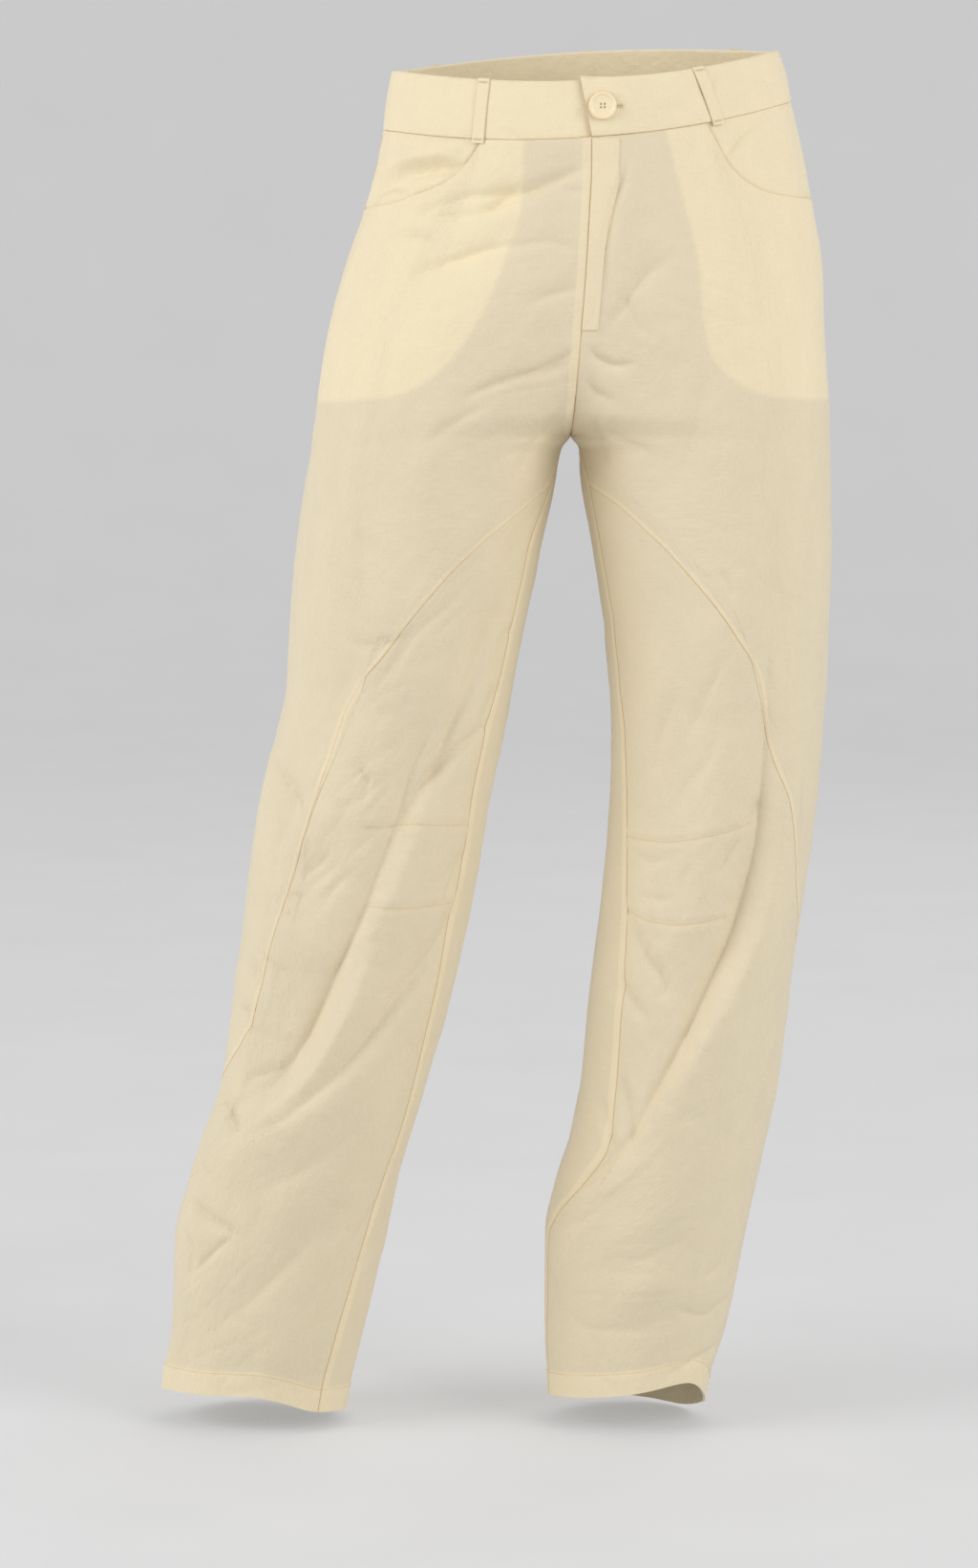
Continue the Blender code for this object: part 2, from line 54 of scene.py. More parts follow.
HIPS = [
    # z, right, left, rise, share_front, share_back, front, back
    (30, -139, 141, 1, 0.00, 0.00, 104, 100),
    (0, -147, 150, 2, 0.02, 0.02, 106, 102),
    (-30, -152, 158, 3, 0.03, 0.02, 108, 105),
    (-80, -161, 170, 3, 0.08, 0.04, 110, 109),
    (-125, -174, 178, 1, 0.22, 0.12, 110, 113),
    (-160, -186, 183, -1, 0.38, 0.24, 109, 116),
    (-200, -197, 186, -4, 0.57, 0.42, 108, 117),
    (-250, -206, 190, -8, 0.81, 0.72, 105, 113),
    (-275, -210, 191, -10, 0.93, 0.90, 104, 110),
]
LEGS = {
    "right": [
        # z, outer, inner, front, back, seam
        (-290, -213, -11, 103, 108, 0),
        (-300, -214, -18, 103, 107, 2),
        (-330, -219, -24, 101, 105, 14),
        (-380, -225, -34, 99, 102, 27),
        (-440, -230, -47, 96, 98, 28),
        (-480, -232, -55, 93, 96, 30),
        (-520, -241, -62, 91, 93, 34),
        (-560, -252, -70, 90, 91, 35),
        (-640, -264, -84, 88, 88, 32),
        (-720, -275, -102, 86, 86, 33),
        (-800, -286, -123, 84, 84, 32),
        (-840, -300, -135, 82, 83, 31),
        (-880, -313, -148, 79, 81, 32),
        (-920, -323, -156, 74, 77, 37),
        (-960, -325, -164, 68, 71, 42),
        (-1000, -327, -174, 63, 65, 45),
        (-1040, -333, -184, 58, 60, 46),
        (-1080, -336, -191, 57, 58, 46),
    ],
    "left": [
        (-290, 191, -11, 103, 108, 0),
        (-300, 191, -4, 103, 107, 6),
        (-330, 192, -2, 101, 105, 20),
        (-380, 192, 6, 99, 102, 22),
        (-440, 191, 16, 96, 98, 22),
        (-480, 190, 19, 93, 96, 24),
        (-520, 188, 20, 91, 93, 29),
        (-560, 185, 21, 90, 91, 30),
        (-640, 175, 15, 88, 88, 38),
        (-720, 163, 5, 86, 86, 45),
        (-800, 153, -3, 84, 84, 46),
        (-840, 145, -11, 82, 83, 49),
        (-880, 137, -22, 79, 81, 34),
        (-920, 129, -30, 74, 77, 14),
        (-960, 122, -30, 68, 71, 11),
        (-1000, 113, -30, 63, 65, 10),
        (-1040, 100, -28, 59, 61, 10),
        (-1080, 92, -26, 57, 58, 10),
    ],
}
WAIST_TOP = {"middle": -1.0, "tilt": 0.052, "dip": 17.0, "lift": 10.0}
WAIST_SEAM = {"middle": -43.5, "tilt": 0.069, "dip": 17.5, "lift": 8.0}
# Lines on the front as seen from the front, x and z. None is the side seam.
POCKET_MOUTH = {
    "right": [(-79, -61), (-85, -71), (-94, -83), (-106, -93), (-131, -104), (-150, -110), (None, -115)],
    "left": [(90, -50), (98, -64), (110, -84), (123, -95), (139, -102), (158, -105), (None, -108)],
}
CURVED_SEAM = {
    "right": [
        (-27, -327), (-42, -341), (-76, -366), (-119, -409), (-153, -452), (-185, -497),
        (-200, -542), (-222, -614), (-242, -676), (-263, -746), (None, -800),
    ],
    "left": [
        (6, -327), (22, -340), (50, -364), (84, -400), (114, -439), (134, -475),
        (142, -525), (155, -575), (161, -640), (None, -715),
    ],
}
POCKET_BOTTOM = {
    "right": [(-50, -112), (-60, -145), (-75, -184), (-104, -229), (-143, -255), (None, -265)],
    "left": [(85, -162), (87, -191), (93, -223), (118, -248), (150, -258), (None, -262)],
}
HEM = {
    "right": [(0, -1061), (45, -1056), (95, -1040), (180, -1044), (270, -1062), (360, -1061)],
    "left": [(0, -1050), (90, -1038), (130, -1032), (180, -1057), (225, -1068), (270, -1065), (360, -1050)],
}
HEM_DEPTH = 20.0
# How far the cloth bridges forward over the front rise, z and millimetres, and how wide.
BRIDGE = [(-80, 0), (-125, 5), (-160, 10), (-200, 18), (-240, 29), (-270, 32), (-289, 0)]
BRIDGE_WIDTH = 30.0
PLACKET_EDGE = [(-64, 24), (-94, 23), (-123, 18), (-146, 13), (-183, 10), (-206, 8)]   # z, x

# ---------- Folds ----------


def fold_rows(text):
    """Rows of a fold table: near, far, grow, depth and the points of its line as rows x, z."""
    rows = [row.split("|") for row in text.strip().splitlines()]
    lines = [np.array(line.replace(",", " ").split(), float).reshape(-1, 2) for _, line in rows]
    return [(*map(float, form.split()), line) for (form, _), line in zip(rows, lines)]


# A row for each fold: near, far, grow and depth | the points x z of its line, seen from the front.
# Going along the line, `near` is the fold's width on the left hand and `far` on the right; `grow`
# widens it toward its end. Depth is plus for a ridge and minus for a trough.
FRONT_FOLDS = {
    "right": fold_rows("""
    5 7 1.4 -1.2 | -87 -394, -107 -419, -126 -434, -145 -459, -160 -478
    4 4 1 -0.8 | -83 -408, -99 -425, -118 -442
    6 24 1.2 -6.5 | -60 -415, -80 -462, -96 -500, -110 -540, -120 -580
    6 22 1.2 -8 | -110 -500, -128 -537, -142 -578, -158 -620, -172 -657, -188 -690, -206 -727, -223 -759
    26 8 1 4.5 | -112 -560, -132 -604, -148 -640, -164 -676
    4 5 1 -1.6 | -77 -465, -92 -496, -105 -520, -116 -550
    4 10 1.2 -4.6 | -74 -511, -101 -535, -119 -553, -133 -571, -142 -589
    3 4 1 -1.4 | -69 -481, -75 -498, -79 -509
    3 4 1 -1.2 | -56 -436, -63 -445, -66 -458
    6 24 1.3 -9.5 | -95 -645, -117 -692, -133 -713, -152 -734, -170 -755, -193 -780, -216 -801, -240 -822
    24 9 1.1 10.5 | -165 -690, -178 -722, -192 -750, -212 -782, -240 -811, -270 -836, -298 -862
    8 34 1 -10.5 | -185 -690, -207 -735, -229 -768, -253 -793, -278 -808
    4 5 1 -2.2 | -94 -609, -100 -629, -107 -648
    3 3 1 -0.9 | -101 -605, -105 -621, -111 -635
    5 7 1 -2 | -289 -804, -279 -817, -266 -830
    8 6 1 -2.6 | -312 -889, -291 -900, -272 -909
    7 6 1 -2 | -274 -910, -291 -926, -308 -945
    10 18 1.2 -3.2 | -180 -880, -203 -905, -231 -933, -259 -961, -290 -988
    5 5 1 -1 | -159 -883, -172 -904, -186 -928, -195 -958
    4 4 1 -0.8 | -160 -904, -169 -925, -178 -946
    4 5 1 -1.6 | -318 -911, -309 -932, -310 -955
    9 12 1 -2.4 | -251 -539, -236 -552, -226 -570, -230 -589
    5 6 1 -1.2 | -230 -555, -221 -570, -217 -581
    4 5 1 -1.4 | -266 -699, -259 -703, -253 -712
    4 6 1 -1.5 | -272 -731, -265 -739, -266 -754
    5 7 1 -1.2 | -177 -539, -168 -553, -173 -570
    4 5 1 -1.1 | -192 -616, -202 -626, -214 -635
    4 4 1 -1 | -183 -624, -194 -635, -203 -648
    5 4 1 -1 | -199 -609, -207 -618, -219 -624
    10 12 1 1.8 | -192 -548, -202 -583, -214 -613
    5 6 1 -0.9 | -178 -676, -189 -694, -201 -709
    6 6 1 -0.9 | -134 -436, -158 -445, -186 -442
    10 14 1 -1.2 | -171 -458, -193 -491, -201 -517
    8 8 1 -1 | -230 -428, -225 -450, -228 -480
    12 12 1 -1 | -209 -694, -231 -724, -246 -761
    5 5 1 -1 | -237 -775, -255 -782, -272 -791
    14 16 1 1.8 | -142 -761, -157 -814, -187 -859
    10 14 1 -1.6 | -172 -821, -209 -851, -254 -874
    6 14 1 -4.2 | -1 -84, -25 -94, -51 -105, -80 -117
    5 8 1 -2.6 | -51 -99, -69 -104, -89 -106, -108 -110, -128 -119
    4 8 1 -3 | -54 -102, -69 -110, -82 -120
    4 5 1 -1.3 | 1 -104, -11 -102, -22 -100
    5 7 1 -1.6 | -83 -119, -105 -120, -134 -117
    5 6 1 -1.9 | -118 -139, -134 -134, -150 -136
    7 10 1 -2.9 | -56 -141, -76 -146, -98 -153, -120 -159, -141 -166
    6 8 1 -1.3 | -2 -148, -32 -140, -65 -146
    6 8 1 -1.4 | -5 -175, -25 -179, -45 -187
    3 4 1 -2.4 | -2 -218, -18 -227, -36 -237, -54 -242, -72 -248, -91 -256
    4 4 1 -1.4 | -5 -226, -24 -236, -43 -243
    8 10 1 -1.6 | -11 -261, -32 -282, -54 -319
    8 10 1 -1.3 | -76 -264, -98 -275, -120 -291
    14 18 1 -1.9 | -18 -297, -40 -348, -61 -392
    """),
    "left": fold_rows("""
    16 5 1 1.2 | 33 -66, 30 -98, 22 -130, 20 -174
    3 3 1 -1.9 | 31 -77, 25 -96, 19 -113, 15 -132, 13 -148, 13 -174
    4 4 1 -1.6 | 55 -159, 42 -166, 33 -178, 26 -190, 14 -204
    4 5 1 -1.4 | 27 -181, 36 -198, 43 -211
    12 12 1 -2.2 | 63 -151, 49 -159, 33 -175
    5 6 1 -2.6 | -1 -219, 10 -229, 22 -234, 33 -232
    5 6 1 -2.2 | -1 -245, 8 -255, 20 -261
    6 7 1 -2.1 | 16 -284, 30 -293, 43 -298
    4 5 1 -1.6 | 6 -275, 11 -297, 16 -311
    12 14 1 -2.2 | 93 -239, 84 -275, 76 -311, 71 -363
    9 18 1 -2.2 | 165 -235, 158 -261, 151 -304, 146 -348, 145 -392, 152 -436
    3 5 1 -1.9 | 134 -44, 119 -58, 106 -74
    4 6 1 -1.2 | 102 -389, 108 -401, 110 -414
    3 4 1 -1.1 | 104 -461, 94 -481, 84 -503, 72 -525
    8 8 1 -1.5 | 68 -487, 56 -518, 50 -558
    8 10 1 -1.3 | 103 -506, 94 -535, 78 -555, 66 -577
    3 4 1 -1 | 44 -425, 38 -436, 34 -447
    4 3 1 -0.8 | 50 -428, 45 -442, 43 -453
    4 5 1 -1.8 | 138 -567, 132 -577, 127 -587
    3 4 1 -1.6 | 122 -592, 111 -609, 100 -626
    5 9 1.2 -2.8 | 31 -650, 46 -687, 58 -706, 62 -724
    3 4 1 -1 | 36 -609, 49 -616, 59 -613
    3 3 1 -0.9 | 40 -642, 56 -645, 68 -641
    4 4 1 -0.9 | 80 -616, 75 -631, 73 -646
    6 32 1.1 -14 | 141 -480, 137 -583, 127 -643, 115 -680, 99 -710, 76 -755, 51 -799, 28 -841
    26 9 1 7.5 | 154 -480, 153 -564, 146 -620, 139 -657, 125 -694, 107 -729, 84 -769, 60 -806
    5 12 1 -2.4 | 49 -816, 26 -841, 5 -865, -18 -886
    12 10 1 -1.2 | 170 -524, 168 -568, 165 -613
    4 7 1 -2.4 | 27 -709, 35 -724, 44 -738
    4 6 1 -1.8 | 26 -785, 33 -812, 37 -840
    4 5 1 -1.8 | 11 -799, 16 -825, 22 -847
    3 6 1 1 | 59 -835, 39 -856, 14 -875, -9 -886
    16 18 1 -1.8 | 80 -911, 50 -925, 14 -946
    10 14 1 -1.5 | -17 -975, 12 -987, 41 -984, 71 -970
    12 12 1 1.6 | 20 -960, 57 -950, 87 -958
    6 8 1 -1.4 | 71 -969, 95 -978, 117 -966
    6 8 1 -1.4 | 93 -946, 106 -940, 115 -916
    5 6 1 -1.5 | -28 -945, -21 -966, -24 -987
    4 6 1 -1.5 | 65 -1026, 87 -1014, 110 -1005
    12 16 1 -1.2 | 39 -363, 51 -406, 56 -458
    10 12 1 -0.9 | 131 -761, 124 -821, 116 -881
    8 10 1 -0.9 | -39 -911, -9 -904, 28 -874
    """),
}
# The same for the back, still as seen from the front.
BACK_FOLDS = {
    "right": fold_rows("""
    16 20 1 -4.5 | -20 -262, -60 -310, -130 -345, -205 -352
    14 20 1 -3.5 | -30 -300, -70 -352, -130 -400, -215 -420
    8 12 1 -1.8 | -24 -330, -60 -420, -84 -520
    10 16 1.4 -5 | -110 -640, -160 -705, -210 -740, -262 -760
    22 8 1 6 | -128 -735, -170 -800, -230 -850, -296 -872
    12 16 1 -3.5 | -165 -880, -230 -930, -305 -945
    12 12 1 -2.5 | -110 -560, -150 -600, -180 -650
    5 7 1 -1.4 | -150 -540, -176 -566, -200 -572
    12 12 1 -2 | -220 -560, -230 -600, -215 -660
    10 14 1 -2 | -130 -90, -80 -110, -20 -150
    5 8 1 -1.2 | -150 -130, -120 -150, -90 -155
    6 8 1 -1.3 | -240 -985, -280 -1000, -310 -990
    """),
    "left": fold_rows("""
    20 16 1 -4 | 14 -266, 60 -318, 120 -346, 180 -350
    20 14 1 -3.2 | 20 -306, 70 -366, 130 -408, 184 -420
    12 8 1 -1.6 | 10 -340, 34 -430, 50 -520
    16 12 1.4 -4.6 | 22 -650, 70 -700, 110 -738, 150 -752
    8 22 1 5.5 | 20 -742, 60 -800, 100 -832, 135 -846
    16 12 1 -3.2 | -18 -886, 50 -925, 110 -936
    12 12 1 -2.3 | 40 -566, 80 -610, 120 -656
    7 5 1 -1.2 | 90 -536, 112 -560, 140 -570
    14 10 1 -1.8 | 140 -96, 90 -112, 30 -146
    6 6 1 -1.2 | 20 -980, 60 -1000, 95 -990
    """),
}
# Patches of small creases: middle x, z, half width, half height, lean of the creases from level in
# degrees, and strength in millimetres.
CRUMPLED = {
    "right": [
        (-215, -575, 55, 45, 60, 1.0), (-200, -630, 40, 32, 40, 1.2), (-175, -555, 30, 30, 50, 0.9),
        (-120, -500, 45, 70, 62, 0.8), (-250, -800, 45, 50, 35, 0.8), (-265, -720, 25, 60, 70, 0.7),
        (-185, -930, 40, 70, 65, 0.7), (-110, -620, 25, 40, 70, 0.7), (-290, -930, 30, 60, 60, 0.6),
        (-60, -130, 80, 50, 14, 0.45), (-60, -250, 70, 45, 24, 0.5), (-90, -380, 60, 60, 55, 0.4),
        (-130, -90, 40, 30, 10, 0.5), (-170, -250, 70, 120, 20, 0.25), (-250, -1040, 60, 30, 20, 0.4),
    ],
    "left": [
        (90, -640, 50, 50, 50, 1.0), (75, -520, 45, 60, 62, 0.9), (45, -700, 30, 60, 60, 0.8),
        (100, -590, 30, 30, 50, 0.9), (30, -440, 25, 50, 70, 0.7), (60, -330, 50, 60, 60, 0.4),
        (10, -830, 30, 60, 65, 0.7), (40, -950, 70, 50, 10, 0.6), (20, -180, 40, 80, 70, 0.4),
        (70, -230, 50, 60, 45, 0.4), (150, -380, 25, 110, 80, 0.4), (150, -760, 20, 120, 78, 0.5),
        (120, -120, 60, 60, 50, 0.25), (30, -1030, 60, 25, 15, 0.4),
    ],
}
# Knee darts, from the inseam outward: x, z points.
DARTS = {
    "right": [
        [(-93, -589), (-114, -587), (-132, -585), (-149, -588), (-170, -587)],
        [(-104, -651), (-130, -651), (-152, -650), (-166, -649)],
    ],
    "left": [
        [(34, -599), (62, -600), (86, -596), (108, -592), (128, -586)],
        [(32, -656), (48, -662), (68, -664), (88, -662), (110, -659)],
    ],
}
ALLOWANCE = 7.0          # width of the doubled strip inside a seam


def smooth(rows, where):
    """Smooth value between the rows (place, value) of a table, which never overshoots them."""
    x, y = np.array(sorted(rows), float).T
    step = np.diff(x)
    slope = np.diff(y) / step
    tangent = np.concatenate([slope[:1], np.zeros(len(x) - 2), slope[-1:]])
    same_way = slope[:-1] * slope[1:] > 0
    before, after = slope[:-1][same_way], slope[1:][same_way]
    tangent[1:-1][same_way] = 2 * before * after / (before + after)
    where = np.clip(np.asarray(where, float), x[0], x[-1])
    index = np.clip(np.searchsorted(x, where) - 1, 0, len(x) - 2)
    t = (where - x[index]) / step[index]
    return (
        y[index] * (1 + 2 * t) * (1 - t) ** 2
        + y[index + 1] * t ** 2 * (3 - 2 * t)
        + step[index] * (tangent[index] * t * (1 - t) ** 2 - tangent[index + 1] * t ** 2 * (1 - t))
    )


def ramp(low, high, value):
    """0 below low, 1 above high, smooth between."""
    t = np.clip((value - low) / (high - low), 0, 1)
    return t * t * (3 - 2 * t)


def bell(distance, width):
    """exp(-(distance / width)^2)."""
    return np.exp(-((distance / width) ** 2))


def unit(vectors):
    return vectors / np.linalg.norm(vectors, axis=-1, keepdims=True)


def dense(line, count):
    """x and z of `count` places on the smooth line through a line's points."""
    steps = np.linspace(0, len(line) - 1, count)
    return [smooth(list(enumerate(line[:, k])), steps) for k in (0, 1)]


def column(rows, number):
    return [(row[0], row[number]) for row in rows]


def outline(side):
    """Tables of one half: z with outer x, inner x, depths, inseam turn and the rise's share."""
    outer_column = {"right": 1, "left": 2}[side]
    legs = LEGS[side]
    return {
        "outer": column(HIPS, outer_column) + column(legs, 1),
        "inner": column(HIPS, 3) + column(legs, 2),
        "front": column(HIPS, 6) + column(legs, 3),
        "back": column(HIPS, 7) + column(legs, 4),
        "seam": column(legs, 5),
        "share_front": column(HIPS, 4) + [(CROTCH_Z, 1.0), (-1100, 1.0)],
        "share_back": column(HIPS, 5) + [(CROTCH_Z, 1.0), (-1100, 1.0)],
    }


OUTLINES = {side: outline(side) for side in ("right", "left")}
RISE = column(HIPS, 3) + [(CROTCH_Z, -11)]


def ellipse(side, z, share):
    """Middle x and half width of the ellipse at a height; the half width is signed to the inner side."""
    outer = smooth(OUTLINES[side]["outer"], z)
    half_width = (smooth(OUTLINES[side]["inner"], z) - outer) / (1 + share)
    return outer + half_width, half_width


def turn(side, around, z):
    """Angle round the leg from its inner side: 90 degrees is the front and 180 the outer side."""
    rows = OUTLINES[side]
    seam = np.radians(smooth(rows["seam"], z))
    front, back = (np.arccos(np.clip(smooth(rows[key], z), 0, 1)) for key in ("share_front", "share_back"))
    above = z > CROTCH_Z
    first = np.where(above, front, seam)
    last = 2 * np.pi + np.where(above, -back, seam)
    behind = np.pi + (last - np.pi) * (2 * around - 1)
    return np.where(around <= 0.5, first + (np.pi - first) * 2 * around, behind)


def body(side, around, z):
    """The form without folds: middle + half width * cos(turn), depth * sin(turn), z. Over the front
    rise it comes forward by the bridge * exp(-distance / width)."""
    rows = OUTLINES[side]
    share = np.where(around <= 0.5, smooth(rows["share_front"], z), smooth(rows["share_back"], z))
    middle, half_width = ellipse(side, z, share)
    angle = turn(side, around, z)
    depth = np.where(np.sin(angle) > 0, smooth(rows["front"], z), smooth(rows["back"], z))
    x = middle + half_width * np.cos(angle)
    bridge = smooth(BRIDGE, z) * np.exp(-np.abs(x - smooth(rows["inner"], z)) / BRIDGE_WIDTH)
    return np.stack([x, -depth * np.sin(angle) - bridge * (angle <= np.pi), z + 0 * angle], -1)


def outward(side, around, z):
    """Unit normal of the form, pointing out of the garment, from small steps both ways."""
    step_around, step_z = 0.002, 0.5
    low, high = np.clip(around - step_around, 0, 1), np.clip(around + step_around, 0, 1)
    along = body(side, high, z) - body(side, low, z)
    up = body(side, around, z + step_z) - body(side, around, z - step_z)
    return unit(np.cross(up, along) * (1 if side == "right" else -1))


def around_at(side, x, z):
    """Place round the front of a half, 0 to 0.5, where the form has this x."""
    z = np.asarray(z, float)
    middle, half_width = ellipse(side, z, smooth(OUTLINES[side]["share_front"], z))
    angle = np.arccos(np.clip((x - middle) / half_width, -1, 1))
    first = turn(side, np.zeros_like(z), z)
    return np.clip(0.5 * (angle - first) / (np.pi - first), 0, 0.5)


def line_on_front(side, points):
    """A line drawn from the front as rows (around, z), from its inner end to the side seam."""
    return sorted((0.5 if x is None else float(around_at(side, x, z)), z) for x, z in points)


def waist_line(line, side, around):
    """Height of a waist line: middle + tilt * x - dip * front^2 + lift * back^2, where front and back
    are how far the place faces each way. The second pass uses the height that the first one found."""
    level = np.full(np.shape(around), float(line["middle"]))
    for _ in range(2):
        x = body(side, around, level)[..., 0]
        facing = np.sin(turn(side, around, level))
        front, back = np.clip(facing, 0, 1) ** 2, np.clip(-facing, 0, 1) ** 2
        level = line["middle"] + line["tilt"] * x - line["dip"] * front + line["lift"] * back
    return level


HEM_LEVEL = -1045.0      # height at which the hem's angles are measured
SEAM_HALF_GAP = 0.1
UNDER_BAND = 0.3


def hem_line(side, around):
    angle = np.degrees(turn(side, around, np.full(np.shape(around), HEM_LEVEL))) % 360
    return smooth(HEM[side], angle)


def curved_seam(side, around):
    rows = line_on_front(side, CURVED_SEAM[side])
    rows[0] = (0.0, rows[0][1])
    return smooth(rows, np.minimum(around, 1 - around))


def above_curved_seam(side, around):
    return curved_seam(side, around) + SEAM_HALF_GAP


def below_curved_seam(side, around):
    return curved_seam(side, around) - SEAM_HALF_GAP


def band_seam(side, around):
    return waist_line(WAIST_SEAM, side, around) - UNDER_BAND


def front_top(side, around):
    """The waistband's seam, and the pocket mouth where that is lower."""
    mouth = line_on_front(side, POCKET_MOUTH[side])
    seam = band_seam(side, around)
    return np.where(around > mouth[0][0], np.minimum(smooth(mouth, around), seam), seam)


# ---------- Relief of the cloth ----------

NOISE_SIZE = 64


def noise(x, y, seed):
    """Smooth noise from -1 to 1 with a lattice of 1, from seeded values."""
    values = np.random.RandomState(seed).uniform(-1, 1, (NOISE_SIZE, NOISE_SIZE))
    column_x, row_y = np.floor(x).astype(int), np.floor(y).astype(int)
    blend_x, blend_y = (part ** 2 * (3 - 2 * part) for part in (x - column_x, y - row_y))

    def row(up):
        left = values[column_x % NOISE_SIZE, (row_y + up) % NOISE_SIZE]
        right = values[(column_x + 1) % NOISE_SIZE, (row_y + up) % NOISE_SIZE]
        return left * (1 - blend_x) + right * blend_x

    return row(0) * (1 - blend_y) + row(1) * blend_y


def signed_distance(x, z, line_x, line_z):
    """Distance to a line of points, minus on its left hand, and the share of the line passed."""
    nearest = np.full(x.shape, np.inf)
    along = np.zeros(x.shape)
    hand = np.ones(x.shape)
    for i in range(len(line_x) - 1):
        dx, dz = line_x[i + 1] - line_x[i], line_z[i + 1] - line_z[i]
        from_x, from_z = x - line_x[i], z - line_z[i]
        part = np.clip((from_x * dx + from_z * dz) / (dx * dx + dz * dz), 0, 1)
        distance = np.hypot(from_x - part * dx, from_z - part * dz)
        closer = distance < nearest
        along = np.where(closer, (i + part) / (len(line_x) - 1), along)
        hand = np.where(closer, np.where(dx * from_z - dz * from_x > 0, -1.0, 1.0), hand)
        nearest = np.minimum(distance, nearest)
    return nearest * hand, along


def ends_faded(along, margin):
    """sin(pi * along)^0.5: 0 at a line's ends, less a margin, and 1 in its middle."""
    return np.sin(np.pi * np.clip(along, margin, 1 - margin)) ** 0.5


FOLD_REACH = 3.0         # widths beyond which a fold is nothing
RISE_CALM = 14.0         # folds fade out this far from the front rise
TROUGH_SOFT, TROUGH_POWER = 0.95, 1.4
CORE_SHARE, CORE_LEAST, CORE_MOST = 0.4, 2.6, 4.5
CORE_NARROW, CORE_WIDE, NARROW_TROUGH = 0.7, 0.15, 24.0


def fold_form(distance, width, ridge, whole_width):
    """A ridge is exp(-(distance / width)^2). A trough is a wide soft part, exp(-|distance / width|^1.4),
    and a narrow core, which is deeper where the whole trough is narrow."""
    if ridge:
        return bell(distance, width)
    core = np.clip(CORE_SHARE * width, CORE_LEAST, CORE_MOST)
    core_depth = CORE_NARROW if whole_width < NARROW_TROUGH else CORE_WIDE
    soft = TROUGH_SOFT * np.exp(-(np.abs(distance / width) ** TROUGH_POWER))
    return soft + core_depth * bell(distance, core)


def fold_relief(side, points, normal):
    """Sum of the folds, faded at their ends, at the rise and where the cloth turns away."""
    height = np.zeros(points.shape[:-1])
    x, z = points[..., 0], points[..., 2]
    for table, face in ((FRONT_FOLDS, -1), (BACK_FOLDS, 1)):
        facing = normal[..., 1] * face
        for near, far, grow, depth, line in table[side]:
            line_x, line_z = dense(line, 4 * len(line) - 3)
            reach = FOLD_REACH * max(near, far) * max(grow, 1)
            here = (
                (x > line_x.min() - reach) & (x < line_x.max() + reach)
                & (z > line_z.min() - reach) & (z < line_z.max() + reach) & (facing > 0)
            )
            if not here.any():
                continue
            distance, along = signed_distance(x[here], z[here], line_x, line_z)
            width = np.where(distance < 0, near, far) * (1 + (grow - 1) * along)
            from_rise = np.abs(x[here] - smooth(RISE, z[here]))
            at_rise = np.where(z[here] > CROTCH_Z, ramp(0, RISE_CALM, from_rise), 1)
            fade = ramp(0, 0.45, facing[here]) * at_rise * ends_faded(along, 0.015)
            height[here] += depth * fade * fold_form(distance, width, depth > 0, near + far)
    return height


def dart_distance(side, points, normal):
    """Signed distance to the nearest knee dart on the front, in millimetres."""
    nearest = np.full(points.shape[:-1], WAY_OFF)
    for dart in DARTS[side]:
        distance, _ = signed_distance(points[..., 0], points[..., 2], *np.array(dart, float).T)
        closer = (np.abs(distance) < np.abs(nearest)) & (normal[..., 1] < 0)
        nearest = np.where(closer, distance, nearest)
    return nearest


GIRTH_OF_DEGREE = 1.6    # millimetres round the leg for each degree, for the noise
WAVES = [(34, 75, 3, 1.2), (15, 34, 5, 0.5), (8, 10, 9, 0.2)]     # lattice round and up, seed, height
CREASES = [(0.55, 12), (-0.4, 17)]                                # lean and seed
CREASE_WIDE, CREASE_LONG = 24, 70
CREASE_HEIGHT, CREASE_POWER = 0.55, 3.5
PATCH_CREASES = [(15, 90, 48, 30, 1.0), (8, -60, 26, 60, 0.4)]    # wide, slant, long, seed, height
PATCH_POWER = 4


def crumple(side, around, z, points):
    """Small unevenness of worn cloth: soft waves, and creases (1 - |noise|)^power deep, a few all over
    and more in the patches, whose weight is exp(-(x / wide)^2 - (up / tall)^2)."""
    girth = np.degrees(turn(side, around, z)) * GIRTH_OF_DEGREE + (0 if side == "right" else 777)
    height = 0 * girth
    for wide, tall, seed, size in WAVES:
        height += size * noise(girth / wide, z / tall, seed)
    for lean, seed in CREASES:
        crest = np.abs(noise((z + lean * girth) / CREASE_WIDE, (girth - lean * z) / CREASE_LONG, seed))
        where = ramp(-0.1, 0.7, noise(girth / 80, z / 100, seed + 1))
        height -= CREASE_HEIGHT * (1 - crest) ** CREASE_POWER * where
    height *= ramp(0, 0.05, np.minimum(around, 1 - around))
    for number, (middle_x, middle_z, wide, tall, lean, strength) in enumerate(CRUMPLED[side]):
        x, up = points[..., 0] - middle_x, points[..., 2] - middle_z
        weight = bell(x, wide) * bell(up, tall)
        here = weight > 0.02
        if not here.any():
            continue
        lean = math.radians(lean)
        across = up[here] * math.cos(lean) - x[here] * math.sin(lean)
        along = x[here] * math.cos(lean) + up[here] * math.sin(lean)
        for wide, slant, long, seed, size in PATCH_CREASES:
            crest = np.abs(noise(across / wide + along / slant, along / long, seed + number))
            height[here] -= weight[here] * strength * size * (1 - crest) ** PATCH_POWER
    return height


def nearest_on(points, line):
    """Distance in space from each point to a line of points."""
    flat = points.reshape(-1, 3)
    steps = np.linspace(0, len(line) - 1, 4 * len(line))
    places = np.stack([np.interp(steps, np.arange(len(line)), line[:, k]) for k in range(3)], -1)
    squares = (flat ** 2).sum(1)[:, None] + (places ** 2).sum(1)[None] - 2 * flat @ places.T
    return np.sqrt(np.maximum(squares.min(1), 0)).reshape(points.shape[:-1])


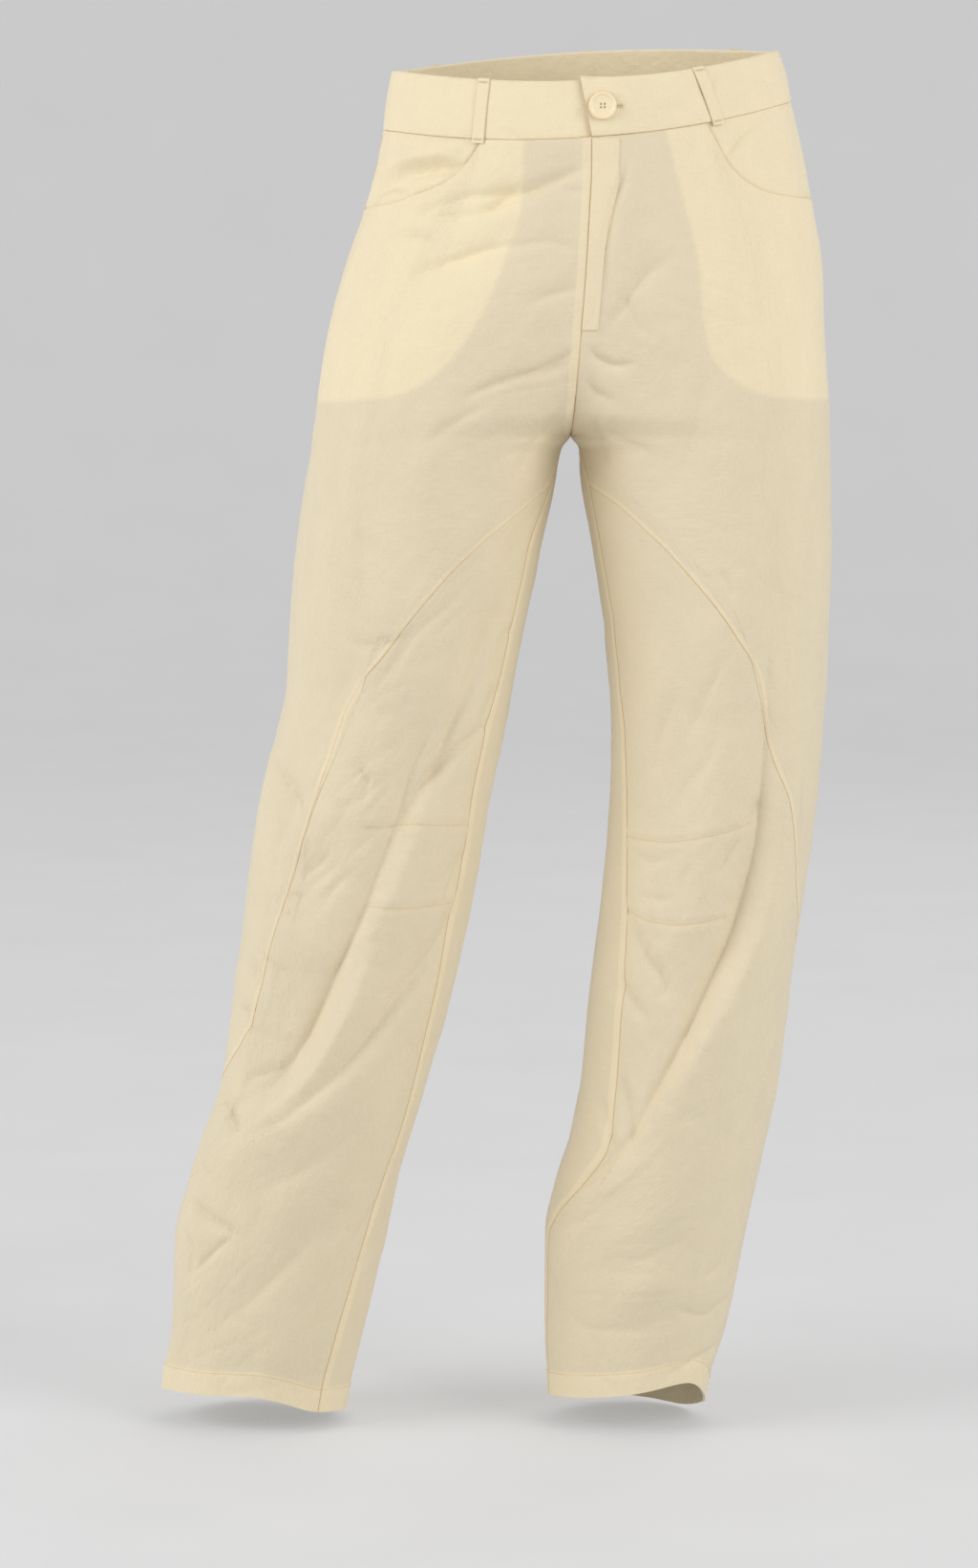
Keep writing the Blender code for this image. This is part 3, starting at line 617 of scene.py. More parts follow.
def faced(points, guide):
    """Unit normals of a grid of points, on the side of the guide normals."""
    normal = np.cross(np.gradient(points, axis=0), np.gradient(points, axis=1))
    normal = unit(normal * np.sign((normal * guide).sum(-1).mean()))
    return np.where((normal * guide).sum(-1, keepdims=True) > 0.4, normal, guide)


# ---------- Materials ----------

SINGLE = (0.735, 0.640, 0.455)
DOUBLE = (0.825, 0.712, 0.485)
SEAM_LINE = (0.720, 0.540, 0.290)
BUTTON_COLOUR = (0.880, 0.745, 0.490)
THREAD_COLOUR = (0.80, 0.67, 0.42)
# Painted shade: the dark brown of the sheet in the buttonhole slit, which stands for the shadow in its gap.
SLIT_SHADE_COLOUR = (0.50, 0.34, 0.14)
PAPER_COLOUR = (0.38, 0.38, 0.385)
THREAD_LONG, THREAD_FINE = 45, 1300      # slubs: lattice along and across a thread, for each metre
SEAM_STRENGTH, STRIP_STRENGTH = 0.7, 0.7


class Nodes:
    """Short hand for making a node tree."""

    def __init__(self, name):
        self.material = bpy.data.materials.new(name)
        self.material.use_nodes = True
        self.tree = self.material.node_tree
        self.shader = self.tree.nodes["Principled BSDF"]

    def put(self, socket, value):
        if isinstance(value, bpy.types.NodeSocket):
            self.tree.links.new(value, socket)
        else:
            socket.default_value = value

    def add(self, kind, inputs=(), **settings):
        node = self.tree.nodes.new("ShaderNode" + kind)
        for key, value in settings.items():
            setattr(node, key, value)
        for key, value in dict(inputs).items():
            self.put(node.inputs[key], value)
        return node

    def shade(self, **inputs):
        for key, value in inputs.items():
            self.put(self.shader.inputs[key.replace("_", " ")], value)

    def math(self, operation, a, b=0.0):
        return self.add("Math", {0: a, 1: b}, operation=operation).outputs[0]

    def step(self, value, low, high):
        """1 below low, 0 above high, smooth between."""
        inputs = {"Value": value, "From Min": low, "From Max": high, "To Min": 1.0, "To Max": 0.0}
        return self.add("MapRange", inputs, interpolation_type="SMOOTHSTEP").outputs["Result"]

    def mix(self, factor, a, b, blend="MIX"):
        return self.add("Mix", data_type="RGBA", blend_type=blend, inputs={0: factor, 6: a, 7: b}).outputs[2]

    def grey(self, colour, shade):
        """The colour times an even shade."""
        rgb = self.add("CombineColor", {"Red": shade, "Green": shade, "Blue": shade}).outputs[0]
        return self.mix(1.0, colour, rgb, "MULTIPLY")

    def texture(self, vector, scale, detail, rough, stretch):
        mapped = self.add("Mapping", {"Vector": vector, "Scale": stretch}).outputs[0]
        inputs = {"Vector": mapped, "Scale": scale, "Detail": detail, "Roughness": rough}
        return self.add("TexNoise", inputs).outputs["Fac"]


def cloth_look(name, tint=1.0):
    """Woven cloth: slubs both ways, brighter where it lies double, warmer along its seam lines.

    The piece carries, in millimetres, `strip` from a seam with doubled cloth, `bag` into the pocket
    bag's outline, `line` from the nearest seam line and `dart` from the nearest dart, with its sign."""
    n = Nodes(name)
    uv = n.add("UVMap", uv_map="cloth").outputs[0]
    strip, bag, line, dart = (
        n.add("Attribute", attribute_name=key).outputs["Fac"] for key in ("strip", "bag", "line", "dart")
    )
    single, double, seam = ((*[part * tint for part in colour], 1) for colour in (SINGLE, DOUBLE, SEAM_LINE))
    in_strip = n.math("MULTIPLY", n.step(strip, ALLOWANCE - 1.0, ALLOWANCE + 0.6), STRIP_STRENGTH)
    in_bag = n.math("SUBTRACT", 1.0, n.step(bag, -3.0, 3.0))
    colour = n.mix(n.math("MAXIMUM", in_strip, in_bag), single, double)
    on_line = n.math("MAXIMUM", n.step(line, 0.2, 1.0), n.step(n.math("ABSOLUTE", dart), 0.2, 0.8))
    colour = n.mix(n.math("MULTIPLY", on_line, SEAM_STRENGTH), colour, seam)
    across = n.texture(uv, 1.0, 3.0, 0.6, (THREAD_LONG, THREAD_FINE, 1))
    along = n.texture(uv, 1.0, 3.0, 0.6, (THREAD_FINE, THREAD_LONG, 1))
    cloud = n.texture(uv, 1.0, 3.0, 0.55, (22, 16, 1))
    threads = n.math("ADD", n.math("MULTIPLY", across, 0.55), n.math("MULTIPLY", along, 0.45))
    shade = n.math("ADD", n.math("MULTIPLY", threads, 0.16), n.math("MULTIPLY", cloud, 0.08))
    crumbs = n.texture(uv, 1.0, 4.0, 0.65, (95, 75, 1))
    relief = n.math("ADD", n.math("MULTIPLY", crumbs, 1.6), n.math("MULTIPLY", threads, 0.35))
    bump = n.add("Bump", {"Height": relief, "Strength": 0.6, "Distance": 0.0012}).outputs[0]
    n.shade(Base_Color=n.grey(colour, n.math("ADD", shade, 0.88)), Normal=bump, Roughness=0.75)
    n.shade(Specular_IOR_Level=0.3, Sheen_Weight=0.3, Sheen_Roughness=0.4)
    return n.material


def plain_look(name, colour, roughness, grain_scale=900, grain_depth=0.0001):
    """Even surface with a fine grain on object coordinates."""
    n = Nodes(name)
    place = n.add("TexCoord").outputs["Object"]
    grain = n.texture(place, grain_scale, 2.0, 0.5, (1, 1, 1))
    tone = n.math("ADD", n.math("MULTIPLY", grain, 0.12), 0.94)
    bump = n.add("Bump", {"Height": grain, "Strength": 0.3, "Distance": grain_depth}).outputs[0]
    n.shade(Base_Color=n.grey((*colour, 1), tone), Normal=bump, Roughness=roughness)
    return n.material


PANEL_LOOK = cloth_look("woven_cloth")
DOUBLE_LOOK = cloth_look("woven_cloth_doubled")
BAG_LOOK = cloth_look("pocket_bag_cloth", tint=0.97)
THREAD_LOOK = plain_look("sewing_thread", THREAD_COLOUR, 0.6, 2500)
BUTTON_LOOK = plain_look("dyed_plastic", BUTTON_COLOUR, 0.32, 400, 0.00003)
# Painted shade for the buttonhole slit: a dark look for the sheet that stands for the shadowed gap of the
# cut.
SLIT_SHADE_LOOK = plain_look("painted_slit_shade", SLIT_SHADE_COLOUR, 0.7, 2500)

# ---------- Making pieces ----------


def put_in_scene(name, data):
    made = bpy.data.objects.new(name, data)
    bpy.context.scene.collection.objects.link(made)
    return made


def piece(name, points, faces, look, slot, replaces=(), uv=None, values=None, sharp=60):
    """A mesh piece from points in millimetres, ridden on the one body."""
    mesh = bpy.data.meshes.new(name)
    mesh.from_pydata(np.asarray(points, float) * MM, [], faces)
    mesh.materials.append(look)
    if uv is not None:
        layer = mesh.uv_layers.new(name="cloth")
        corners = np.empty(len(mesh.loops), dtype=np.int32)
        mesh.loops.foreach_get("vertex_index", corners)
        layer.data.foreach_set("uv", (uv[corners] * MM).ravel())
    for key, numbers in (values or {}).items():
        attribute = mesh.attributes.new(key, "FLOAT", "POINT")
        attribute.data.foreach_set("value", np.asarray(numbers, float).ravel())
    mesh.shade_smooth()
    mesh.set_sharp_from_angle(angle=math.radians(sharp))
    made = put_in_scene(name, mesh)
    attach(made, "root")
    if replaces:
        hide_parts(*replaces)
    return made


def cloth_values(line, strip=0.0, bag=WAY_OFF, dart=WAY_OFF):
    """The values that the cloth's look reads, as for doubled cloth where they aren't given."""
    return {"strip": strip + 0 * line, "bag": bag + 0 * line, "line": line, "dart": dart + 0 * line}


def inside_out(points, faces):
    """Whether a closed shape of quads has its faces turned inward, from the sign of its volume."""
    a, b, c, d = (points[faces[:, k]] for k in range(4))
    return np.einsum("ij,ij->i", a, np.cross(b, c) + np.cross(c, d)).sum() < 0


def wall(name, outer, inner, look, slot, replaces, uv, values):
    """A closed wall between two grids of points that share their columns and rows."""
    columns, rows = outer.shape[:2]
    index = np.arange(columns * rows).reshape(columns, rows)
    offset = columns * rows
    quads = np.stack([index[:-1, :-1], index[1:, :-1], index[1:, 1:], index[:-1, 1:]], -1).reshape(-1, 4)
    rim = np.concatenate([index[:, 0], index[-1, 1:], index[-2::-1, -1], index[0, -2:0:-1]])
    ahead = np.roll(rim, -1)
    rim_faces = np.stack([rim, rim + offset, ahead + offset, ahead], -1)
    faces = np.concatenate([quads, quads[:, ::-1] + offset, rim_faces])
    points = np.concatenate([outer.reshape(-1, 3), inner.reshape(-1, 3)])
    if inside_out(points, faces):
        faces = faces[:, ::-1]
    uv = np.concatenate([uv.reshape(-1, 2)] * 2)
    values = {key: np.tile(np.ravel(value), 2) for key, value in values.items()}
    piece(name, points, faces, look, slot, replaces, uv, values)


def tube(rings):
    """Points and faces of a run of closed rings with the same number of points, and its two ends."""
    rings = np.asarray(rings, float)
    index = np.arange(rings.shape[0] * rings.shape[1]).reshape(rings.shape[:2])
    ahead = np.roll(index, -1, axis=1)
    quads = np.stack([index[:-1], ahead[:-1], ahead[1:], index[1:]], -1).reshape(-1, 4)
    points = rings.reshape(-1, 3)
    ends = [list(index[0, ::-1]), list(index[-1])]
    if inside_out(points - points.mean(0), quads):
        quads = quads[:, ::-1]
        ends = [end[::-1] for end in ends]
    return points, [list(quad) for quad in quads] + ends


EDGE_STEPS = (0.0, 0.6, 1.4, 2.6)
PLACKET_STEPS = (0.0, 0.5, 1.0, 1.6)
EDGE_PLACES = 900
PANEL_WIDTH, PANEL_LENGTH = 300, 450     # usual size of a panel, for the steps at its edges


def spread(count, length, steps=EDGE_STEPS):
    """Shares 0 to 1 with extra places close to both ends, `steps` millimetres from them."""
    near = np.array(steps) / length
    middle = np.linspace(near[-1], 1 - near[-1], count)[1:-1]
    return np.concatenate([near, middle, 1 - near[::-1]])


def place_at(side, angle, z):
    """Place round a half from the angle round its leg."""
    first, last = turn(side, 0 * z, z), turn(side, 0 * z + 1, z)
    behind = 0.5 + 0.5 * (angle - np.pi) / (last - np.pi)
    return np.where(angle <= np.pi, 0.5 * (angle - first) / (np.pi - first), behind)


def edge(side, places, heights, shares):
    """Points (angle, z) at shares of the length of an edge of a panel. A radian counts as 100 mm."""
    line = np.stack([turn(side, places, heights), heights + 0 * places], -1)
    length = np.concatenate([[0], np.cumsum(np.hypot(np.diff(line[:, 0]) * 100, np.diff(line[:, 1])))])
    return np.stack([np.interp(shares * length[-1], length, line[:, k]) for k in (0, 1)], -1)


def panel_grid(side, start, end, top, bottom, columns, rows):
    """Places and heights of a panel's grid between the lines top and bottom, from one place to the
    other. Top, bottom and both sides are spaced by length, and blended as a Coons patch."""
    u, v = spread(columns, PANEL_WIDTH), spread(rows, PANEL_LENGTH)
    across = np.linspace(start, end, EDGE_PLACES)
    down = np.linspace(0, 1, EDGE_PLACES)
    top_z, bottom_z = top(side, across), bottom(side, across)
    above, below = edge(side, across, top_z, u), edge(side, across, bottom_z, u)
    first, last = (
        edge(side, np.full(EDGE_PLACES, place), top_z[k] + (bottom_z[k] - top_z[k]) * down, v)
        for place, k in ((start, 0), (end, -1))
    )
    u, v = u[:, None, None], v[None, :, None]
    grid = (1 - v) * above[:, None] + v * below[:, None] + (1 - u) * first[None] + u * last[None]
    grid -= (1 - u) * ((1 - v) * above[0] + v * below[0]) + u * ((1 - v) * above[-1] + v * below[-1])
    place = place_at(side, grid[..., 0], grid[..., 1])
    return np.clip(place, start, end), grid[..., 1]


WALL = 1.0
SEAM_DIP, SEAM_DIP_WIDTH = 0.35, 1.0
STRIP_RAISED, HEM_RAISED, HEM_THICKER = 0.2, 0.6, 0.8
HEM_DIP, HEM_DIP_WIDTH, HEM_DIP_DOWN = 0.45, 1.2, 1.5
DART_DIP, DART_DIP_WIDTH = 0.7, 1.8
DART_SWELL, DART_SWELL_PLACE, DART_SWELL_WIDTH = 0.35, 5, 4
TURNED_UP_NARROWER = 3.5         # how much less the strip of a curved seam shows


def calm(z):
    """Folds fade out just under the waistband."""
    return ramp(40, 75, -z)


def cloth_panel(name, side, place, z, seams, strips, shows_bag):
    """A cut panel. `seams` names the grid edges that are sewn: l and r first and last column, u and d
    top and bottom row. `strips` names those whose doubled allowance lies on this panel."""
    base = body(side, place, z)
    normal = outward(side, place, z)
    rise = fold_relief(side, base, normal) * calm(z) + crumple(side, place, z, base) * (0.3 + 0.7 * calm(z))
    darts = dart_distance(side, base, normal) if "lower" in name else np.full(z.shape, WAY_OFF)
    rise += DART_SWELL * bell(np.abs(darts) - DART_SWELL_PLACE, DART_SWELL_WIDTH)
    rise -= DART_DIP * bell(darts, DART_DIP_WIDTH)
    points = base + normal * rise[..., None]
    normal = faced(points, normal)
    edges = {"l": points[0], "r": points[-1], "u": points[:, 0], "d": points[:, -1]}
    line = np.full(z.shape, WAY_OFF)
    strip = np.full(z.shape, WAY_OFF)
    for key in sorted(set(seams + strips)):
        distance = nearest_on(points, edges[key])
        narrower = TURNED_UP_NARROWER if key == "d" else 0.0
        line = np.minimum(line, distance) if key in seams else line
        strip = np.minimum(strip, distance + narrower) if key in strips else strip
    above_hem = z - hem_line(side, place)
    in_hem = 1 - ramp(HEM_DEPTH - 1.2, HEM_DEPTH + 0.8, above_hem)
    hem_dip = HEM_DIP * bell(above_hem - HEM_DEPTH + HEM_DIP_DOWN, HEM_DIP_WIDTH)
    raised = STRIP_RAISED * (1 - ramp(ALLOWANCE - 2.0, ALLOWANCE + 1.5, strip)) + HEM_RAISED * in_hem
    raised -= SEAM_DIP * bell(line, SEAM_DIP_WIDTH) + hem_dip
    strip = np.minimum(strip, np.maximum(above_hem - HEM_DEPTH + ALLOWANCE, 0))
    inside = bag_distance(side, points, normal) if shows_bag else -WAY_OFF
    outer = points + normal * raised[..., None]
    inner = outer - normal * (WALL + HEM_THICKER * in_hem)[..., None]
    girth = np.cumsum(np.linalg.norm(np.diff(points, axis=0, prepend=points[:1]), axis=-1), axis=0)
    uv = np.stack([girth.mean(1, keepdims=True) + 0 * z, z], -1)
    values = cloth_values(line, strip, inside, darts)
    wall(f"cloth_{name}", outer, inner, PANEL_LOOK, "cloth", [name], uv, values)


FRONT, BACK = (0.00015, 0.49985), (0.50015, 0.99985)     # places from edge to edge


def make_panels(side):
    """Upper front, lower front and back of one half. The rise's allowance shows on the right only."""
    place, z = panel_grid(side, *FRONT, front_top, above_curved_seam, 144, 176)
    cloth_panel(f"front_upper_{side}", side, place, z, "lrud", "dl" if side == "right" else "d", True)
    place, z = panel_grid(side, *FRONT, below_curved_seam, hem_line, 140, 262)
    cloth_panel(f"front_lower_{side}", side, place, z, "lru", "", False)
    place, z = panel_grid(side, *BACK, band_seam, hem_line, 88, 305)
    cloth_panel(f"back_{side}", side, place, z, "lru", "lr", False)


# ---------- Pockets and placket ----------

BAG_TOP_X = {"right": -48.0, "left": 52.0}
BAG_TOP_Z = -30.0
BAG_PAST_SIDE = 12


def bag_line(side):
    """Front view outline of the pocket bag, x and z, from the waist round its bottom to the side."""
    side_z = POCKET_BOTTOM[side][-1][1]
    past = -BAG_PAST_SIDE if side == "right" else BAG_PAST_SIDE
    bottom = [(x, z) for x, z in POCKET_BOTTOM[side] if x is not None]
    last = (float(smooth(OUTLINES[side]["outer"], side_z)) + past, side_z)
    return dense(np.array([(BAG_TOP_X[side], BAG_TOP_Z), *bottom, last]), 40)


def bag_distance(side, points, normal):
    """Millimetres into the pocket bag's outline, as it shows through the front."""
    distance, _ = signed_distance(points[..., 0], points[..., 2], *bag_line(side))
    return np.where(normal[..., 1] < 0.25, distance if side == "right" else -distance, -WAY_OFF)


# Depth under the panel, thickness and look of the pocket's pieces.
POCKET_PIECES = {
    "bag": (2.6, 0.8, BAG_LOOK, "pocket_bag"),
    "facing": (4.3, 0.9, DOUBLE_LOOK, "cloth"),
}
FACING_UNDER = 1.3       # depth of the facing where it shows in the mouth
# Buckles of the facing in the pocket mouth, in a table as the folds'.
FACING_FOLDS = {
    "right": fold_rows("""
    8 5 1 4.5 | -156 -84, -132 -76, -104 -72
    7 4 1 -7.5 | -150 -93, -128 -87, -110 -85, -92 -86
    6 4 1 -5.5 | -166 -112, -160 -100, -150 -97, -133 -105
    4 3 1 1.5 | -158 -106, -146 -104, -134 -108
    6 8 1 -1 | -120 -60, -112 -70, -96 -74
    """),
    "left": fold_rows("""
    3 5 1 -1.2 | 134 -46, 119 -58, 106 -74
    5 6 1 0.8 | 146 -56, 132 -70, 118 -84
    5 6 1 -0.8 | 160 -70, 148 -84, 136 -96
    """),
}


def facing_relief(side, points):
    height = np.zeros(points.shape[:-1])
    for near, far, _, depth, line in FACING_FOLDS[side]:
        distance, along = signed_distance(points[..., 0], points[..., 2], *dense(line, 12))
        width = np.where(distance < 0, near, far)
        form = np.exp(-(np.abs(distance / width) ** (2 if depth > 0 else 1.5)))
        height += depth * ends_faded(along, 0.03) * form
    return height


def make_pocket(side):
    """Bag and facing under the front: the form sunk by their depth, with the folds of the panel. The
    facing comes up in the pocket mouth."""
    bottom_line = line_on_front(side, POCKET_BOTTOM[side])
    around = bottom_line[0][0] + (0.4996 - bottom_line[0][0]) * spread(76, 180)
    bottom = smooth(bottom_line, around)
    for kind, (under, thick, look, slot) in POCKET_PIECES.items():
        top = front_top(side, around) if kind == "bag" else band_seam(side, around)
        z = top[:, None] + (bottom - top)[:, None] * spread(90, 180)[None]
        place = np.repeat(around[:, None], z.shape[1], 1)
        base = body(side, place, z)
        normal = outward(side, place, z)
        rise = fold_relief(side, base, normal) * calm(z) - under
        if kind == "facing":
            shows = ramp(-8, 4, z - smooth(line_on_front(side, POCKET_MOUTH[side]), place))
            at_side = ramp(0.44, 0.49, place)
            rise += facing_relief(side, base) * shows * (1 - at_side)
            rise += (under - FACING_UNDER + 1.2 * at_side) * shows
        points = base + normal * rise[..., None]
        normal = faced(points, normal)
        uv = np.stack([(place - place[0]) * 640, z], -1)
        name = f"pocket_{kind}_{side}"
        values = cloth_values(np.full(z.shape, WAY_OFF))
        wall(f"cloth_{name}", points, points - normal * thick, look, slot, [name], uv, values)


PLACKET_TOP, PLACKET_BOTTOM, PLACKET_WIDTH, PLACKET_THICK = -62.3, -206.0, 20.0, 0.8
PLACKET_START = 0.0002           # place of its free edge
PLACKET_LIFT, PLACKET_SINK = 1.05, 0.1


def make_placket():
    """Strip that laps over the rise: its free edge stands out, its sewn edge lies on the panel."""
    z_row = np.linspace(PLACKET_TOP, PLACKET_BOTTOM, 90)
    sewn = around_at("left", smooth(PLACKET_EDGE, z_row), z_row)
    part = spread(14, PLACKET_WIDTH, PLACKET_STEPS)[:, None]
    place = PLACKET_START + part * (sewn[None] - PLACKET_START)
    z = np.minimum(z_row[None], band_seam("left", place))
    base = body("left", place, z)
    normal = outward("left", place, z)
    rise = fold_relief("left", base, normal) * calm(z) + crumple("left", place, z, base)
    rise += PLACKET_LIFT - PLACKET_SINK * part - 0.5 * bell(np.minimum(part, 1 - part) * PLACKET_WIDTH, 0.8)
    points = base + normal * rise[..., None]
    normal = faced(points, normal)
    across = part * PLACKET_WIDTH + 0 * z
    line = np.minimum(across + 0.2, PLACKET_WIDTH - across + 0.6)
    uv = np.stack([across, z], -1)
    inner = points - normal * PLACKET_THICK
    values = cloth_values(line, bag=-WAY_OFF)
    wall("cloth_fly_placket", points, inner, PANEL_LOOK, "cloth_double", ["fly_placket"], uv, values)


# ---------- Waistband, loops, button ----------

BAND_DEPTH = 45
BAND_PROUD = 0.8
BAND_THICK = 2.2
UNDER_OUT = BAND_PROUD - BAND_THICK - 0.8
LAP_END = -3.4
UNDERLAP_END = 13.0
LAP_RISE, LAP_LEAN, LAP_FADE = 3.0, 3.4, 9.0
MM_OF_DEGREE = 2.35      # along the band
BAND_BELLY = 0.6         # how far the middle of its face stands out
TOP_DROP = 0.03


def waist_points(degrees, drop, out):
    """Points at angles round the waist: 0 front rise, 90 left side, 180 back rise. Drop runs from 0 at
    the band's top to 1 at its seam."""
    degrees, drop, out = np.broadcast_arrays(np.asarray(degrees, float) % 360, drop, out)
    points = np.empty(degrees.shape + (3,))
    for side in ("left", "right"):
        here = degrees <= 180 if side == "left" else degrees > 180
        if here.any():
            place = degrees[here] / 180 if side == "left" else (360 - degrees[here]) / 180
            top, low = waist_line(WAIST_TOP, side, place), waist_line(WAIST_SEAM, side, place)
            z = top + (low - top) * drop[here]
            points[here] = body(side, place, z) + outward(side, place, z) * out[here][..., None]
    return points


# Soft creases of the band: angle and drop at their ends, width in millimetres and depth.
BAND_FOLDS = [
    (-76, 0.35, -58, 0.45, 4, -0.8), (-27, 0.85, -18, 0.98, 4, -0.8), (52, 0.25, 64, 0.55, 4, -0.8),
    (34, 0.45, 40, 0.15, 4, -0.8), (-55, 0.15, -44, 0.3, 5, -0.5), (20, 0.6, 28, 0.8, 5, -0.5),
    (100, 0.3, 116, 0.5, 5, -0.7), (160, 0.6, 175, 0.4, 5, -0.7), (205, 0.3, 222, 0.5, 5, -0.7),
    (250, 0.6, 262, 0.4, 5, -0.6),
]


def band_relief(angles, drops):
    """Waves and creases of the band's face, its belly, and a dip along its seam."""
    wave = 0.5 * noise(angles / 7, drops * 2.2, 21) + 0.22 * noise(angles / 2.5, drops * 5, 22)
    wave = wave + BAND_BELLY * np.sin(np.pi * drops)
    for angle_a, drop_a, angle_b, drop_b, width, depth in BAND_FOLDS:
        along_band = (angles + 180) % 360 - 180 if angle_a < 90 else angles
        ends_x = np.array([angle_a, angle_b]) * MM_OF_DEGREE
        ends_z = np.array([drop_a, drop_b]) * BAND_DEPTH
        grid = np.broadcast_arrays(along_band * MM_OF_DEGREE, BAND_DEPTH * drops)
        distance, along = signed_distance(*grid, ends_x, ends_z)
        wave += depth * ends_faded(along, 0.02) * bell(distance, width)
    return wave - 0.5 * bell((1 - drops) * BAND_DEPTH, 1.6)


def make_waistband():
    """One strip round the waist. Its section is a long oval: up the outer face, over the fold at the
    top, down the inner face. The lapping end leans back and stands a little higher."""
    angles = np.concatenate([
        LAP_END + np.array([0, 0.2, 0.5, 0.9]), np.linspace(LAP_END + 1.4, 45, 90),
        np.linspace(45, 315, 150)[1:], np.linspace(315, 360 + UNDERLAP_END, 90)[1:],
    ])[:, None]
    drops = np.concatenate([[1.0, 0.975], np.linspace(0.94, 0.06, 20), [TOP_DROP]])[None]
    arc = np.linspace(0, np.pi, 9)[None, 1:-1]
    sinks = ramp(330, 350, angles)
    out = BAND_PROUD + (UNDER_OUT - BAND_PROUD) * sinks
    end_near = np.exp(-(angles - LAP_END) / LAP_FADE)
    leaning = angles + LAP_LEAN * end_near * drops
    face = waist_points(leaning, drops, out + band_relief(angles, drops) * (1 - sinks))
    over = waist_points(angles + 0 * arc, TOP_DROP, out - BAND_THICK / 2 * (1 - np.cos(arc)))
    back = waist_points(leaning, drops, out - BAND_THICK)
    for part, rise in ((face, 1 - drops), (over, 1), (back, 1 - drops)):
        part[..., 2] += LAP_RISE * end_near * rise
    over[..., 2] += BAND_THICK / 2 * np.sin(arc)
    points, faces = tube(np.concatenate([face, over, back[:, ::-1]], axis=1))
    size = face.shape[1] + over.shape[1] + back.shape[1]
    uv = np.stack([angles * MM_OF_DEGREE + np.zeros(size), np.arange(size)[None] * 2.0 + 0 * angles], -1)
    line = np.full((len(angles), size), WAY_OFF)
    line[:, :drops.size] = (1.0 - drops) * BAND_DEPTH + 0.4
    line[:4] = np.minimum(line[:4], np.array([0.2, 0.8, 1.8, 3.0])[:, None])
    piece(
        "cloth_waistband", points, faces, DOUBLE_LOOK, "cloth_double", ["waistband"], uv.reshape(-1, 2),
        cloth_values(line),
    )


LOOPS = [
    # name, angle at the top, angle at the bottom, how far it stands off, bow
    ("belt_loop_front_right", -32.0, -32.5, -0.35, 0.2),
    ("belt_loop_front_left", 32.5, 37.0, -0.3, 1.0),
    ("belt_loop_back_left", 128.0, 128.0, 0.6, 1.0),
    ("belt_loop_centre_back", 180.0, 180.0, 0.6, 1.0),
    ("belt_loop_back_right", -128.0, -128.0, 0.6, 1.0),
]
LOOP_WIDTH = 10.0
LOOP_THICK = 1.0
# Section of a loop: place across from -1 to 1, and height as a share of its thickness.
LOOP_SECTION = [
    (-1, 0.7), (-0.93, 1), (-0.72, 1.15), (-0.4, 0.95), (0, 0.9), (0.4, 0.95), (0.72, 1.15), (0.93, 1),
    (1, 0.7), (1, 0.2), (0.9, 0), (0.4, 0), (-0.4, 0), (-0.9, 0), (-1, 0.2),
]
LOOP_ROWS = 34
TACK_ROWS = (2, 31)
TACK_STITCHES, TACK_PITCH = 12, 0.72


def make_loop(name, angle_top, angle_bottom, clear, bow):
    """A folded strip over the band, held by a bar tack at each end."""
    across, height = np.array(LOOP_SECTION, float).T
    t = np.linspace(0, 1, LOOP_ROWS)[:, None]
    drop = -0.01 + 1.09 * t
    angle = angle_top + (angle_bottom - angle_top) * t
    belly = BAND_BELLY * np.sin(np.pi * np.clip(drop, 0, 1))
    off = BAND_PROUD + belly + clear + bow * np.sin(np.pi * t) ** 0.7
    centre = waist_points(angle, drop, off)
    right = unit(waist_points(angle + 1, drop, off) - centre)
    normal = waist_points(angle, drop, off + 1) - centre
    sideways = right * (across * LOOP_WIDTH / 2)[None, :, None]
    rings = centre + sideways + normal * (height * LOOP_THICK)[None, :, None]
    uv = np.stack([across * 5 + 40 * (height < 0.6) + 0 * t, 50 * t + 0 * across], -1).reshape(-1, 2)
    line = np.where(np.abs(across) > 0.92, 0.5, np.abs(np.abs(across) - 0.95) * 5 + 0.6) + 0 * t
    made = piece(f"cloth_{name}", *tube(rings), DOUBLE_LOOK, "cloth_double", [name], uv, cloth_values(line))
    shifts = (np.arange(TACK_STITCHES) - (TACK_STITCHES - 1) / 2) * TACK_PITCH
    middles = [centre[r] + right[r] * shifts[:, None] + normal[r] * (LOOP_THICK + 0.15) for r in TACK_ROWS]
    ways = np.stack([0.12 * (-1.0) ** np.arange(TACK_STITCHES), 0 * shifts, 1 + 0 * shifts], -1)
    normals = [np.repeat(normal[r], TACK_STITCHES, 0) for r in TACK_ROWS]
    tacks = (np.concatenate(middles), np.tile(ways, (2, 1)), np.concatenate(normals))
    stitches(f"tacks_{name}", *tacks, 1.6, 0.28)


def stitches(name, middles, ways, normals, length, radius):
    """Stitches as one piece: each a six-sided spindle along its way, its ends sunk in the cloth."""
    ways = unit(ways)
    across = unit(np.cross(ways, normals))
    turns = np.linspace(0, 2 * np.pi, 6, endpoint=False)
    share = np.array([-0.5, -0.3, 0.3, 0.5])[None, :, None, None]
    wide = np.array([0.35, 1.0, 1.0, 0.35])[None, :, None, None] * radius
    sink = np.array([-0.6, 0.0, 0.0, -0.6])[None, :, None, None] * radius
    spoke = across[:, None, None] * np.cos(turns)[None, None, :, None]
    spoke = spoke + normals[:, None, None] * np.sin(turns)[None, None, :, None]
    length = np.broadcast_to(length, len(middles))[:, None, None, None]
    rings = middles[:, None, None] + ways[:, None, None] * length * share
    rings = rings + normals[:, None, None] * sink + spoke * wide
    _, template = tube(rings[0])
    size = rings[0].size // 3
    faces = [[corner + size * k for corner in face] for k in range(len(middles)) for face in template]
    return piece(name, rings.reshape(-1, 3), faces, THREAD_LOOK, "cloth_double")


